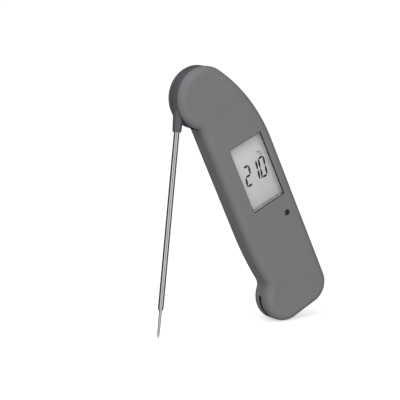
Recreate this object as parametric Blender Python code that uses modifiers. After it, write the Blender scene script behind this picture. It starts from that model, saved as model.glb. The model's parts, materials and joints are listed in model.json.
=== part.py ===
"""Pocket thermometer with a folding needle probe, standing on its heel and its probe.

Metres, +Z up. The origin is on the floor, under the middle of the whole object, and the display
faces -Y. The body and the probe share one pivot, whose axis runs along Y: the body leans one way
from it and the probe stands the other way, so the two make an A-shaped stand.

Every body piece is modelled in the body frame: X across the body, Y through its thickness with
the display at -Y, Z along it with the round head at the top and the pivot at the origin. Every
probe piece is modelled in the probe frame: the same axes, with the probe along -Z.
"""
from math import acos, atan2, cos, hypot, pi, radians, sin, sqrt, tau

import bmesh
import bpy
from mathutils import Matrix, Vector

MM = 0.001

# ---------------------------------------------------------------- stance
BODY_LEAN = radians(25.0)

# ---------------------------------------------------------------- body outline, seen from the front
HEAD_RADIUS = 16.8 * MM
RIGHT_EDGE_X = 28.3 * MM
RIGHT_BOW_RADIUS = 87.5 * MM
BOTTOM_CORNER_RADIUS = 12.0 * MM
BOTTOM_SLOPE = radians(1.5)
HEEL_X = 0.65 * MM
HEEL_DROP = 122.9 * MM
HEEL_RADIUS = 13.75 * MM
LEFT_EDGE_X = -10.05 * MM
LEFT_BOW_RADIUS = 186.0 * MM
LEFT_BOW_DROP = 79.4 * MM
WAIST_RADIUS = 5.3 * MM
NECK_RADIUS = 2.0 * MM
HEEL_ARC = 4
CORNER_ARC = 5

# ---------------------------------------------------------------- body thickness and walls
FRONT_DEPTH = 7.25 * MM
REAR_DEPTH = 11.5 * MM
EDGE_RADIUS = 4.0 * MM
REAR_SHOULDER_Y = 3.25 * MM
REAR_FLAT_INSET = 9.0 * MM
SIDE_WALL = 2.0 * MM
FACE_WALL = 2.2 * MM
HEEL_WALL = 5.0 * MM
HEEL_RUN_IN = 8
HEEL_RUN_OUT = 3
PART_GAP = 0.3 * MM
OVERCUT = 1.0 * MM
BOSS_ROOT = 0.5 * MM
SMALLEST_RADIUS = 0.4 * MM
SEAL_THICKNESS = 0.8 * MM
SEAL_DEPTH = 3.2 * MM

# ---------------------------------------------------------------- hinge
HUB_RIM_SINK = 0.5 * MM
HUB_RIM_GAP = 0.7 * MM
HUB_THICKNESS = 7.6 * MM
HUB_SIDE_GAP = 0.3 * MM
WELL_WALL = 1.8 * MM
OPENING_END_Z = 4.0 * MM
SPINDLE_RADIUS = 4.0 * MM
SPINDLE_BORE = 2.4 * MM
SPINDLE_SOCKET = 1.5 * MM
HUB_EDGE = 0.4 * MM
LID_LEDGE = 0.7 * MM
FINGER_CLEARANCE = 0.1 * MM
HINGE_POCKET_RADIUS = 12.5 * MM
HINGE_POCKET_DEPTH = 3.2 * MM
HUB_SEAL_RADIUS = 14.0 * MM
HUB_SEAL_WIRE = 0.9 * MM
HUB_POCKET_INNER = 6.4 * MM
HUB_POCKET_OUTER = 12.0 * MM
HUB_FLOOR = 1.6 * MM
HUB_LID_THICKNESS = 1.0 * MM
FRICTION_RADIUS = 9.0 * MM
FRICTION_THICKNESS = 0.6 * MM
SLIP_RING_RADII = (7.4 * MM, 10.2 * MM)
SLIP_RING_WIDTH = 1.2 * MM
SLIP_RING_THICKNESS = 0.4 * MM
CARRIER_RADIUS = 11.6 * MM
CARRIER_THICKNESS = 0.8 * MM

# ---------------------------------------------------------------- probe
PROBE_SIDE_GAP = 0.95 * MM
TIP_PAST_HEEL = 4.1 * MM
BOOT_REACH = 18.7 * MM
BOOT_ROOT_RADIUS = 3.35 * MM
BOOT_END_RADIUS = 2.35 * MM
TUBE_RADIUS = 1.5 * MM
TUBE_WALL = 0.35 * MM
TUBE_INSERTION = 13.5 * MM
NEEDLE_LENGTH = 14.0 * MM
NEEDLE_RADIUS = 0.75 * MM
SHOULDER_LENGTH = 2.2 * MM
SLIDING_GAP = 0.2 * MM
FERRULE_WALL = 0.3 * MM
FERRULE_SINK = 4.2 * MM
FERRULE_LENGTH = 5.0 * MM
CORE_RADIUS = 0.6 * MM
CORE_RISE = 4.0 * MM
POINT_RADIUS = 0.3 * MM
NEEDLE_TAPER = ((0.6, 0.97), (0.15, 0.8))
COLD_BOARD_THICKNESS = 0.8 * MM
MAGNET_RADIUS = 1.5 * MM
MAGNET_LENGTH = 1.6 * MM
NEEDLE_SLOT_WIDTH = 1.7 * MM
NEEDLE_SLOT_DEPTH = 3.0 * MM
NEEDLE_SLOT_START = 0.28
NEEDLE_SLOT_END = 0.40

# ---------------------------------------------------------------- display
DISPLAY_X = 11.15 * MM
DISPLAY_DROP = 50.45 * MM
DISPLAY_WIDTH = 21.9 * MM
DISPLAY_HEIGHT = 38.3 * MM
DISPLAY_CORNER = 0.5 * MM
BEZEL_LINING = 0.45 * MM
LIP_DEPTH = 0.4 * MM
WINDOW_SINK = 1.0 * MM
WINDOW_THICKNESS = 0.8 * MM
LCD_MARGIN = 1.4 * MM
LCD_THICKNESS = 1.8 * MM
LIGHT_GUIDE_THICKNESS = 1.0 * MM
STRIP_WIDTH = 1.8 * MM
SENSOR_X = 19.4 * MM
SENSOR_DROP = 80.0 * MM
SENSOR_RADIUS = 1.4 * MM
SENSOR_LENS_SINK = 0.15 * MM
SENSOR_CHIP = (2.0 * MM, 0.8 * MM, 1.6 * MM)
WINDOW_CLEARANCE = 0.15 * MM
LAMP_LENGTH = 3.0 * MM
LAMP_WIDTH = 1.7 * MM

# ---------------------------------------------------------------- electronics
BOARD_THICKNESS = 1.0 * MM
BOARD_TOP_DROP = 14.0 * MM
REED_LENGTH = 10.0 * MM
REED_RADIUS = 1.0 * MM
REED_X = 5.0 * MM
REED_DROP = 25.5 * MM
# name, place across the body, drop below the pivot, width, height, thickness
CHIPS = (
    ("microcontroller", 11.15 * MM, 46.0 * MM, 7.0 * MM, 7.0 * MM, 1.2 * MM),
    ("probe_amplifier", 2.5 * MM, 34.0 * MM, 4.0 * MM, 5.0 * MM, 1.1 * MM),
    ("orientation_sensor", 19.0 * MM, 38.0 * MM, 3.0 * MM, 3.0 * MM, 0.9 * MM),
    ("power_regulator", 2.0 * MM, 72.0 * MM, 4.0 * MM, 3.0 * MM, 1.1 * MM),
)

# ---------------------------------------------------------------- battery
BATTERY_X = 9.0 * MM
BATTERY_RADIUS = 5.2 * MM
BATTERY_LENGTH = 43.3 * MM
BATTERY_NUB_RADIUS = 1.9 * MM
BATTERY_NUB_LENGTH = 1.2 * MM
CONTACT_THICKNESS = 0.4 * MM
CONTACT_SPRING_LENGTH = 2.0 * MM
CONTACT_MARGIN = 1.2 * MM
SPRING_WIRE = 0.25 * MM
SPRING_TURNS = 3
SPRING_WIDE = 3.6 * MM
SPRING_NARROW = 2.0 * MM
CAN_EDGE = 0.5 * MM
TRAY_WALL = 1.0 * MM
TRAY_FLOOR = 0.6 * MM
TRAY_REACH = 3.0 * MM
TRAY_CLEARANCE = 0.5 * MM
COVER_THICKNESS = 1.6 * MM
COVER_MARGIN = 2.0 * MM
COVER_CORNER = 3.0 * MM
COVER_LEDGE = 1.5 * MM
COVER_RIM_DEPTH = 1.6 * MM
COVER_SCREW_ROOM = 8.0 * MM
COVER_SCREW_RADIUS = 0.8 * MM
COVER_SCREW_HEAD_RADIUS = 1.6 * MM
COVER_SCREW_HEAD_HEIGHT = 0.9 * MM
COVER_SCREW_LENGTH = 4.0 * MM
COVER_BOSS_RADIUS = 2.6 * MM
COVER_SEAL_THICKNESS = 0.8 * MM

# ---------------------------------------------------------------- case screws
HEAD_SCREWS = ((-3.2 * MM, -25.6 * MM), (18.0 * MM, -19.5 * MM))
HEEL_SCREWS = ((-3.85 * MM, 1.0 * MM), (19.95 * MM, -3.0 * MM))
SCREW_HEAD_RADIUS = 2.1 * MM
SCREW_HEAD_HEIGHT = 1.6 * MM
SCREW_SHANK_RADIUS = 1.0 * MM
SCREW_SEAT_Y = 3.0 * MM
SCREW_BITE = 4.2 * MM
SCREW_TIP_ROOM = 0.5 * MM
THREAD_ROOM = 0.25 * MM
HEAD_SINK = 0.1 * MM
BOSS_RADIUS = 2.8 * MM
REAR_BOSS_RADIUS = 3.4 * MM
BOSS_SKIN = 0.4 * MM

# ---------------------------------------------------------------- worked out
HUB_RADIUS = HEAD_RADIUS - HUB_RIM_SINK
WELL_RADIUS = HUB_RADIUS + HUB_RIM_GAP
WELL_HALF_DEPTH = HUB_THICKNESS / 2 + HUB_SIDE_GAP
PROBE_OFFSET = -LEFT_EDGE_X + PROBE_SIDE_GAP + TUBE_RADIUS
PROBE_REACH = HEEL_DROP + TIP_PAST_HEEL
FACE_INNER_Y = -FRONT_DEPTH + FACE_WALL
ROOF_INNER_Y = REAR_DEPTH - SIDE_WALL
BATTERY_Y = FACE_INNER_Y + 2 * PART_GAP + TRAY_FLOOR + BATTERY_RADIUS
PIVOT_HEIGHT = HEEL_RADIUS - HEEL_X * sin(BODY_LEAN) + HEEL_DROP * cos(BODY_LEAN)
PROBE_TILT = acos(PIVOT_HEIGHT / hypot(PROBE_REACH, PROBE_OFFSET)) - atan2(PROBE_OFFSET, PROBE_REACH)
DISPLAY_Z = -DISPLAY_DROP
LCD_FRONT_Y = FACE_INNER_Y + PART_GAP
LCD_BACK_Y = LCD_FRONT_Y + LCD_THICKNESS
GUIDE_BACK_Y = LCD_BACK_Y + PART_GAP + LIGHT_GUIDE_THICKNESS
BOARD_FRONT_Y = GUIDE_BACK_Y + PART_GAP
BOARD_BACK_Y = BOARD_FRONT_Y + BOARD_THICKNESS

# ---------------------------------------------------------------- colours: base colour, roughness, metallic
FINISHES = {
    "case_grey": ((0.190, 0.190, 0.198), 0.55, 0.0),
    "hub_grey": ((0.085, 0.092, 0.105), 0.50, 0.0),
    "steel": ((0.62, 0.61, 0.59), 0.25, 1.0),
    "black_plastic": ((0.012, 0.012, 0.013), 0.45, 0.0),
    "black_rubber": ((0.020, 0.020, 0.021), 0.80, 0.0),
    "clear_plastic": ((0.85, 0.87, 0.88), 0.08, 0.0),
    "lcd_grey": ((0.520, 0.520, 0.510), 0.30, 0.0),
    "light_guide": ((0.80, 0.80, 0.76), 0.40, 0.0),
    "led_white": ((0.90, 0.88, 0.70), 0.35, 0.0),
    "board_green": ((0.020, 0.110, 0.050), 0.45, 0.0),
    "chip_black": ((0.018, 0.018, 0.020), 0.40, 0.0),
    "brass": ((0.72, 0.52, 0.22), 0.30, 1.0),
    "nickel": ((0.66, 0.64, 0.60), 0.30, 1.0),
    "cell_wrap": ((0.30, 0.31, 0.33), 0.35, 0.0),
    "white_plastic": ((0.62, 0.62, 0.60), 0.50, 0.0),
    "glass_tube": ((0.45, 0.52, 0.48), 0.10, 0.0),
}


# ================================================================ scene helpers
def clear_scene():
    for obj in list(bpy.data.objects):
        bpy.data.objects.remove(obj, do_unlink=True)


def make_collection(name):
    collection = bpy.data.collections.new(name)
    bpy.context.scene.collection.children.link(collection)
    return collection


def finish(name):
    """The material of that name, made on first use."""
    if name in bpy.data.materials:
        return bpy.data.materials[name]
    colour, roughness, metallic = FINISHES[name]
    material = bpy.data.materials.new(name)
    material.use_nodes = True
    shader = material.node_tree.nodes["Principled BSDF"]
    shader.inputs["Base Color"].default_value = (*colour, 1.0)
    shader.inputs["Roughness"].default_value = roughness
    shader.inputs["Metallic"].default_value = metallic
    return material


def make_frame(name, location, tilt):
    """An empty whose Y axis is the pivot."""
    frame = bpy.data.objects.new(name, None)
    frame.location = location
    frame.rotation_euler = (0.0, tilt, 0.0)
    parts.objects.link(frame)
    return frame


def make_object(name, bm, finish_name, parent, location=(0, 0, 0), rotation=(0, 0, 0)):
    bmesh.ops.recalc_face_normals(bm, faces=bm.faces)
    mesh = bpy.data.meshes.new(name)
    bm.to_mesh(mesh)
    bm.free()
    obj = bpy.data.objects.new(name, mesh)
    obj.parent = parent
    obj.location = location
    obj.rotation_euler = rotation
    if finish_name:
        obj.data.materials.append(finish(finish_name))
        parts.objects.link(obj)
    else:
        obj.hide_render = True
        obj.display_type = "WIRE"
        tools.objects.link(obj)
    return obj


def boolean(obj, other, operation):
    modifier = obj.modifiers.new(operation.lower() + "_" + other.name, "BOOLEAN")
    modifier.operation = operation
    modifier.solver = "EXACT"
    modifier.object = other


def cut(obj, *cutters):
    for cutter in cutters:
        boolean(obj, cutter, "DIFFERENCE")


def add(obj, *pieces):
    for piece in pieces:
        boolean(obj, piece, "UNION")


# ================================================================ shapes
def box_mesh(x0, x1, y0, y1, z0, z1):
    bm = bmesh.new()
    size = Matrix.Diagonal((x1 - x0, y1 - y0, z1 - z0, 1))
    place = Matrix.Translation(((x0 + x1) / 2, (y0 + y1) / 2, (z0 + z1) / 2))
    bmesh.ops.create_cube(bm, size=1.0, matrix=place @ size)
    return bm


def rod_mesh(radius, start, end, end_radius=None, segments=32):
    """A round rod or cone between two points."""
    start, end = Vector(start), Vector(end)
    run = end - start
    turn = run.to_track_quat("Z", "Y").to_matrix().to_4x4()
    bm = bmesh.new()
    bmesh.ops.create_cone(
        bm, cap_ends=True, segments=segments, radius1=radius,
        radius2=radius if end_radius is None else end_radius, depth=run.length,
        matrix=Matrix.Translation((start + end) / 2) @ turn)
    return bm


def loft_mesh(loops):
    """A closed solid through loops that have the same number of points each."""
    bm = bmesh.new()
    rings = []
    for loop in loops:
        verts = [bm.verts.new(point) for point in loop]
        rings.append([bm.edges.new((a, b)) for a, b in zip(verts, verts[1:] + verts[:1])])
    for lower, upper in zip(rings, rings[1:]):
        bmesh.ops.bridge_loops(bm, edges=lower + upper)
    for ring in (rings[0], rings[-1]):
        bmesh.ops.contextual_create(bm, geom=ring)
    return bm


def rounded_rectangle(x0, x1, z0, z1, radius, y, steps=5):
    corners = ((x1 - radius, z1 - radius), (x0 + radius, z1 - radius),
               (x0 + radius, z0 + radius), (x1 - radius, z0 + radius))
    points = []
    for turn, (x, z) in enumerate(corners):
        for step in range(steps + 1):
            angle = (turn + step / steps) * pi / 2
            points.append(Vector((x + radius * cos(angle), y, z + radius * sin(angle))))
    return points


def rounded_plate(x0, x1, z0, z1, radius, y0, y1):
    return loft_mesh([rounded_rectangle(x0, x1, z0, z1, radius, y) for y in (y0, y1)])


def make_window_frame(name, rectangle, radius, width, y0, y1, finish_name, parent):
    """A rounded rectangular ring: a plate with a hole, its bars width wide."""
    x0, x1, z0, z1 = rectangle
    plate = make_object(name, rounded_plate(x0, x1, z0, z1, radius, y0, y1), finish_name, parent)
    thickness = y1 - y0
    hole = make_object(name + "_hole", rounded_plate(
        x0 + width, x1 - width, z0 + width, z1 - width, max(radius - width, SMALLEST_RADIUS),
        y0 - thickness, y1 + thickness), None, parent)
    cut(plate, hole)
    return plate


def turned(name, profile, finish_name, parent, location=(0, 0, 0), axis="Y", steps=48, ring=False):
    """A turned piece: profile holds (radius, height) points that run from the top of the axis out
    and down, and height is measured along the named axis of the parent frame."""
    bm = bmesh.new()
    verts = [bm.verts.new((radius, 0.0, height)) for radius, height in profile]
    for a, b in zip(verts, verts[1:]):
        bm.edges.new((a, b))
    if ring:
        bm.edges.new((verts[-1], verts[0]))
    mesh = bpy.data.meshes.new(name)
    bm.to_mesh(mesh)
    bm.free()
    obj = bpy.data.objects.new(name, mesh)
    obj.parent = parent
    obj.location = location
    obj.rotation_euler = {"Y": (-pi / 2, 0, 0), "-Z": (pi, 0, 0), "Z": (0, 0, 0)}[axis]
    screw = obj.modifiers.new("turn", "SCREW")
    screw.axis = "Z"
    screw.angle = tau
    screw.steps = steps
    screw.render_steps = steps
    screw.use_merge_vertices = True
    screw.merge_threshold = 0.001 * MM
    if finish_name:
        obj.data.materials.append(finish(finish_name))
        parts.objects.link(obj)
    else:
        obj.hide_render = True
        obj.display_type = "WIRE"
        tools.objects.link(obj)
    return obj


# ================================================================ body outline
def body_arcs():
    """The outline's arcs, anticlockwise from the right of the head, as
    (centre x, centre z, radius, start angle, end angle, +1 where it bulges or -1, steps)."""
    bow_x = RIGHT_EDGE_X - RIGHT_BOW_RADIUS
    bow_z = -sqrt((RIGHT_BOW_RADIUS - HEAD_RADIUS) ** 2 - bow_x ** 2)
    head_start = atan2(-bow_z, -bow_x)

    neck_x = LEFT_EDGE_X - NECK_RADIUS
    neck_z = -sqrt((HEAD_RADIUS + NECK_RADIUS) ** 2 - neck_x ** 2)
    head_end = atan2(neck_z, neck_x) + tau

    left_x = LEFT_EDGE_X + LEFT_BOW_RADIUS
    left_z = -LEFT_BOW_DROP
    heel_x, heel_z = HEEL_X, -HEEL_DROP
    to_heel = hypot(heel_x - left_x, heel_z - left_z)
    reach_left = LEFT_BOW_RADIUS + WAIST_RADIUS
    reach_heel = HEEL_RADIUS + WAIST_RADIUS
    along = (reach_left ** 2 - reach_heel ** 2 + to_heel ** 2) / (2 * to_heel)
    aside = sqrt(reach_left ** 2 - along ** 2)
    way_x, way_z = (heel_x - left_x) / to_heel, (heel_z - left_z) / to_heel
    waist_x = left_x + way_x * along + way_z * aside
    waist_z = left_z + way_z * along - way_x * aside
    left_end = atan2(waist_z - left_z, waist_x - left_x) + tau
    heel_start = atan2(waist_z - heel_z, waist_x - heel_x)
    heel_end = BOTTOM_SLOPE + 1.5 * pi

    corner_x = RIGHT_EDGE_X - BOTTOM_CORNER_RADIUS
    fall = (heel_x - corner_x) * sin(BOTTOM_SLOPE) + HEEL_RADIUS - BOTTOM_CORNER_RADIUS
    corner_z = heel_z - fall / cos(BOTTOM_SLOPE)

    return (
        (0.0, 0.0, HEAD_RADIUS, head_start, head_end, 1, 30),
        (neck_x, neck_z, NECK_RADIUS, head_end - pi, 0.0, -1, 4),
        (left_x, left_z, LEFT_BOW_RADIUS, pi, left_end, 1, 5),
        (waist_x, waist_z, WAIST_RADIUS, left_end - pi, heel_start - pi, -1, 5),
        (heel_x, heel_z, HEEL_RADIUS, heel_start, heel_end, 1, 16),
        (corner_x, corner_z, BOTTOM_CORNER_RADIUS, heel_end, tau, 1, 9),
        (bow_x, bow_z, RIGHT_BOW_RADIUS, 0.0, head_start, 1, 8),
    )


def outline(inset, y, heel_inset=None):
    """The body's outline as a closed loop at depth y, moved inwards by inset. The heel can have
    an inset of its own, which runs out to the common one at both ends of its arc."""
    points = []
    for number, (x, z, radius, start, end, bulge, steps) in enumerate(body_arcs()):
        thicker = heel_inset - inset if number == HEEL_ARC and heel_inset is not None else 0.0
        for step in range(steps + 1):
            done = step / steps
            blend = min(1.0, HEEL_RUN_IN * done, HEEL_RUN_OUT * (1 - done))
            own_radius = radius - bulge * (inset + thicker * blend)
            angle = start + (end - start) * step / steps
            points.append(Vector((x + own_radius * cos(angle), y, z + own_radius * sin(angle))))
    return points


def front_profile(wall=0.0):
    """(inset, y) pairs from the front face round the edge, wall inside the outer skin."""
    radius = max(EDGE_RADIUS - wall, SMALLEST_RADIUS)
    centre_inset = wall + radius
    centre_y = -FRONT_DEPTH + wall + radius
    angles = [pi / 2 * step / 5 for step in range(6)]
    return [(centre_inset - radius * sin(a), centre_y - radius * cos(a)) for a in angles]


def rear_profile(wall=0.0):
    """(inset, y) pairs from the side wall over the shoulder to the flat of the back."""
    radius = max(EDGE_RADIUS - wall, SMALLEST_RADIUS)
    centre_inset = wall + radius
    crown = REAR_DEPTH - wall
    points = []
    for step in range(5):
        angle = pi / 4 * step / 4
        points.append((centre_inset - radius * cos(angle), REAR_SHOULDER_Y + radius * sin(angle)))
    start_inset, start_y = points[-1]
    knee_inset = start_inset + crown - start_y
    end_inset = max(REAR_FLAT_INSET, knee_inset + OVERCUT)
    for step in range(1, 6):
        t = step / 5
        inset = (1 - t) ** 2 * start_inset + 2 * t * (1 - t) * knee_inset + t * t * end_inset
        y = (1 - t) ** 2 * start_y + (1 - (1 - t) ** 2) * crown
        points.append((inset, y))
    return points


# ================================================================ places shared by several pieces
def display_rectangle(grow):
    """x0, x1, z0, z1 of the visible display opening, grown all round."""
    half_width = DISPLAY_WIDTH / 2 + grow
    half_height = DISPLAY_HEIGHT / 2 + grow
    return (DISPLAY_X - half_width, DISPLAY_X + half_width,
            DISPLAY_Z - half_height, DISPLAY_Z + half_height)


def bottom_edge_z(x):
    """The height of the straight bottom edge over a point across the body."""
    return -HEEL_DROP - (HEEL_RADIUS - (x - HEEL_X) * sin(BOTTOM_SLOPE)) / cos(BOTTOM_SLOPE)


def tray_rectangle():
    """x0, x1, z0, z1 of the battery tray's outer faces."""
    side = BATTERY_RADIUS + TRAY_CLEARANCE + TRAY_WALL
    stack = BATTERY_LENGTH + BATTERY_NUB_LENGTH + CONTACT_SPRING_LENGTH + CONTACT_THICKNESS
    bottom = bottom_edge_z(BATTERY_X + side) + SIDE_WALL + 2 * PART_GAP + SEAL_THICKNESS
    top = bottom + stack + 4 * PART_GAP + 2 * TRAY_WALL
    return BATTERY_X - side, BATTERY_X + side, bottom, top


def screw_places():
    return HEAD_SCREWS + tuple((HEEL_X + x, -HEEL_DROP + z) for x, z in HEEL_SCREWS)


# ================================================================ case
def hub_well_tools(name, frame, y0, y1):
    """Cutters that open one half of the case round the hub: the round well, the groove where the
    boot parks, and the square end of the opening on the right of the head."""
    far = 2 * RIGHT_EDGE_X
    well = make_object(name + "_well", rod_mesh(WELL_RADIUS, (0, y0, 0), (0, y1, 0), segments=96),
                       None, frame)
    x = -PROBE_OFFSET
    park = make_object(name + "_park", rod_mesh(
        BOOT_ROOT_RADIUS + PART_GAP, (x, 0, 0), (x, 0, -BOOT_REACH - PART_GAP),
        BOOT_END_RADIUS + PART_GAP, segments=48), None, frame)
    top = make_object(name + "_top", box_mesh(0, far, y0, y1, OPENING_END_Z, far), None, frame)
    return well, park, top


def room_mesh_tool(name, frame, loops, grow, finish_name=None):
    """The inset outline without the wall round the hub well, which is grow thicker."""
    room = make_object(name, loft_mesh(loops), finish_name, frame)
    keep = make_object(name + "_well_wall", rod_mesh(
        WELL_RADIUS + WELL_WALL + grow, (0, -2 * REAR_DEPTH, 0), (0, 2 * REAR_DEPTH, 0),
        segments=96), None, frame)
    slot_wall = PROBE_OFFSET - BOOT_ROOT_RADIUS - PART_GAP - WELL_WALL - grow
    keep_park = make_object(name + "_park_wall", box_mesh(
        -2 * RIGHT_EDGE_X, -slot_wall, -2 * REAR_DEPTH, 2 * REAR_DEPTH,
        -BOOT_REACH - grow, HEAD_RADIUS), None, frame)
    cut(room, keep, keep_park)
    return room


def needle_slot_tool(frame):
    """The narrow slot along the heel that the needle folds into."""
    x, z, radius, start, end = body_arcs()[HEEL_ARC][:5]
    loops = []
    for y in (-NEEDLE_SLOT_WIDTH / 2, NEEDLE_SLOT_WIDTH / 2):
        loop = []
        for reach, order in ((radius + NEEDLE_SLOT_DEPTH, 1), (radius - NEEDLE_SLOT_DEPTH, -1)):
            first, last = start + NEEDLE_SLOT_START, end - NEEDLE_SLOT_END
            angles = [first + (last - first) * step / 12 for step in range(13)]
            for angle in angles[::order]:
                loop.append(Vector((x + reach * cos(angle), y, z + reach * sin(angle))))
        loops.append(loop)
    return make_object("needle_slot", loft_mesh(loops), None, frame)


def make_front_case(frame, needle_slot):
    seam = -PART_GAP / 2
    outer = [outline(inset, y) for inset, y in front_profile()] + [outline(0.0, seam)]
    case = make_object("front_case", loft_mesh(outer), "case_grey", frame)

    loops = [outline(SIDE_WALL, y, HEEL_WALL) for y in (FACE_INNER_Y, REAR_DEPTH)]
    room = room_mesh_tool("front_room", frame, loops, 0.0)
    aperture = make_object("display_aperture", rounded_plate(
        *display_rectangle(0.0), DISPLAY_CORNER, -2 * FRONT_DEPTH, 0), None, frame)
    bezel_seat = make_object("bezel_seat", rounded_plate(
        *display_rectangle(BEZEL_LINING + PART_GAP), DISPLAY_CORNER + BEZEL_LINING,
        -FRONT_DEPTH + LIP_DEPTH, 0), None, frame)
    sensor_hole = make_object("sensor_hole", rod_mesh(
        SENSOR_RADIUS + SLIDING_GAP, (SENSOR_X, -2 * FRONT_DEPTH, -SENSOR_DROP),
        (SENSOR_X, 0, -SENSOR_DROP)), None, frame)
    cut(case, room, aperture, bezel_seat, sensor_hole)

    for number, (x, z) in enumerate(screw_places(), 1):
        boss = make_object(f"front_boss_{number}", rod_mesh(
            BOSS_RADIUS, (x, FACE_INNER_Y - BOSS_ROOT, z), (x, seam, z)), None, frame)
        add(case, boss)
    for number, (x, z) in enumerate(screw_places(), 1):
        pilot = make_object(f"front_pilot_{number}", rod_mesh(
            SCREW_SHANK_RADIUS + THREAD_ROOM, (x, seam - SCREW_BITE, z), (x, OVERCUT, z)), None, frame)
        cut(case, pilot)

    socket = make_object("front_spindle_socket", rod_mesh(
        SPINDLE_RADIUS + PART_GAP, (0, -WELL_HALF_DEPTH - SPINDLE_SOCKET, 0), (0, 0, 0)), None, frame)
    cut(case, *hub_well_tools("front", frame, -WELL_HALF_DEPTH, REAR_DEPTH), socket, needle_slot)
    return case


def make_rear_case(frame, needle_slot):
    seam = PART_GAP / 2
    outer = [outline(0.0, seam)] + [outline(inset, y) for inset, y in rear_profile()]
    case = make_object("rear_case", loft_mesh(outer), "case_grey", frame)

    inner = [(SIDE_WALL, -FRONT_DEPTH)] + rear_profile(SIDE_WALL)
    heel = [HEEL_WALL + inset - SIDE_WALL for inset, y in inner]
    loops = [outline(i, y, h) for (i, y), h in zip(inner, heel)]
    room = room_mesh_tool("rear_room", frame, loops, 0.0)
    cut(case, room)

    under_skin = [(BOSS_SKIN, seam)] + rear_profile(BOSS_SKIN)
    skin = make_object("rear_under_skin", loft_mesh(
        [outline(inset, y) for inset, y in under_skin]), None, frame)
    for number, (x, z) in enumerate(screw_places(), 1):
        boss = make_object(f"rear_boss_{number}", rod_mesh(
            REAR_BOSS_RADIUS, (x, seam, z), (x, REAR_DEPTH, z)), None, frame)
        boolean(boss, skin, "INTERSECT")
        add(case, boss)
    for number, (x, z) in enumerate(screw_places(), 1):
        bore = make_object(f"rear_bore_{number}", rod_mesh(
            SCREW_SHANK_RADIUS + PART_GAP, (x, -OVERCUT, z), (x, REAR_DEPTH, z)), None, frame)
        sink = make_object(f"rear_sink_{number}", rod_mesh(
            SCREW_HEAD_RADIUS + PART_GAP, (x, SCREW_SEAT_Y, z), (x, 2 * REAR_DEPTH, z)), None, frame)
        cut(case, bore, sink)

    x0, x1, z0, z1 = cover_rectangle()
    rim_front = cover_inner_y() - PART_GAP - COVER_RIM_DEPTH
    rim = make_object("cover_rim", rounded_plate(
        x0 - SIDE_WALL, x1 + SIDE_WALL, z0 - SIDE_WALL, z1 + SIDE_WALL, COVER_CORNER + SIDE_WALL,
        rim_front, ROOF_INNER_Y + BOSS_ROOT), None, frame)
    screw_x, screw_z = cover_screw_place()
    cover_boss = make_object("cover_boss", rod_mesh(
        COVER_BOSS_RADIUS, (screw_x, cover_inner_y() - COVER_SCREW_LENGTH - OVERCUT, screw_z),
        (screw_x, ROOF_INNER_Y + BOSS_ROOT, screw_z)), None, frame)
    add(case, rim, cover_boss)
    seat = make_object("cover_seat", rounded_plate(
        x0 - PART_GAP, x1 + PART_GAP, z0 - PART_GAP, z1 + PART_GAP, COVER_CORNER + PART_GAP,
        cover_inner_y() - PART_GAP, 2 * REAR_DEPTH), None, frame)
    hatch = make_object("cover_hatch", rounded_plate(
        *hatch_rectangle(), COVER_CORNER - COVER_LEDGE, 0, 2 * REAR_DEPTH), None, frame)
    cover_pilot = make_object("cover_pilot", rod_mesh(
        COVER_SCREW_RADIUS + THREAD_ROOM, (screw_x, cover_inner_y() - COVER_SCREW_LENGTH, screw_z),
        (screw_x, 2 * REAR_DEPTH, screw_z)), None, frame)
    cut(case, seat, hatch, cover_pilot)

    pocket = make_object("hinge_pocket", rod_mesh(
        HINGE_POCKET_RADIUS, (0, 0, 0), (0, WELL_HALF_DEPTH + HINGE_POCKET_DEPTH, 0), segments=64),
        None, frame)
    cut(case, *hub_well_tools("rear", frame, -REAR_DEPTH, WELL_HALF_DEPTH), pocket, needle_slot)
    return case


def make_case_seal(frame):
    """The seal strip that lines the seam all round the electronics room."""
    outer = SIDE_WALL + PART_GAP
    inner = outer + SEAL_THICKNESS
    heel = HEEL_WALL - SIDE_WALL
    ends = (-SEAL_DEPTH / 2, SEAL_DEPTH / 2)
    loops = [outline(outer, y, outer + heel) for y in ends]
    seal = room_mesh_tool("case_seal", frame, loops, PART_GAP, "black_rubber")
    loops = [outline(inner, 2 * y, inner + heel) for y in ends]
    inside = room_mesh_tool("seal_inside", frame, loops, PART_GAP + SEAL_THICKNESS)
    cut(seal, inside)
    return seal


# ================================================================ battery
def cover_rectangle():
    """x0, x1, z0, z1 of the battery cover, which stays on the flat of the back."""
    side = BATTERY_RADIUS + COVER_MARGIN
    bottom = bottom_edge_z(BATTERY_X + side) + REAR_FLAT_INSET
    return BATTERY_X - side, BATTERY_X + side, bottom, tray_rectangle()[3] + COVER_SCREW_ROOM


def hatch_rectangle():
    """The way in for the battery, inside the ledge that the cover lies on."""
    x0, x1, z0 = cover_rectangle()[:3]
    return x0 + COVER_LEDGE, x1 - COVER_LEDGE, z0 + COVER_LEDGE, tray_rectangle()[3] - TRAY_WALL


def cover_screw_place():
    return BATTERY_X, tray_rectangle()[3] + COVER_SCREW_ROOM / 2


def cover_inner_y():
    return REAR_DEPTH - COVER_THICKNESS


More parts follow.
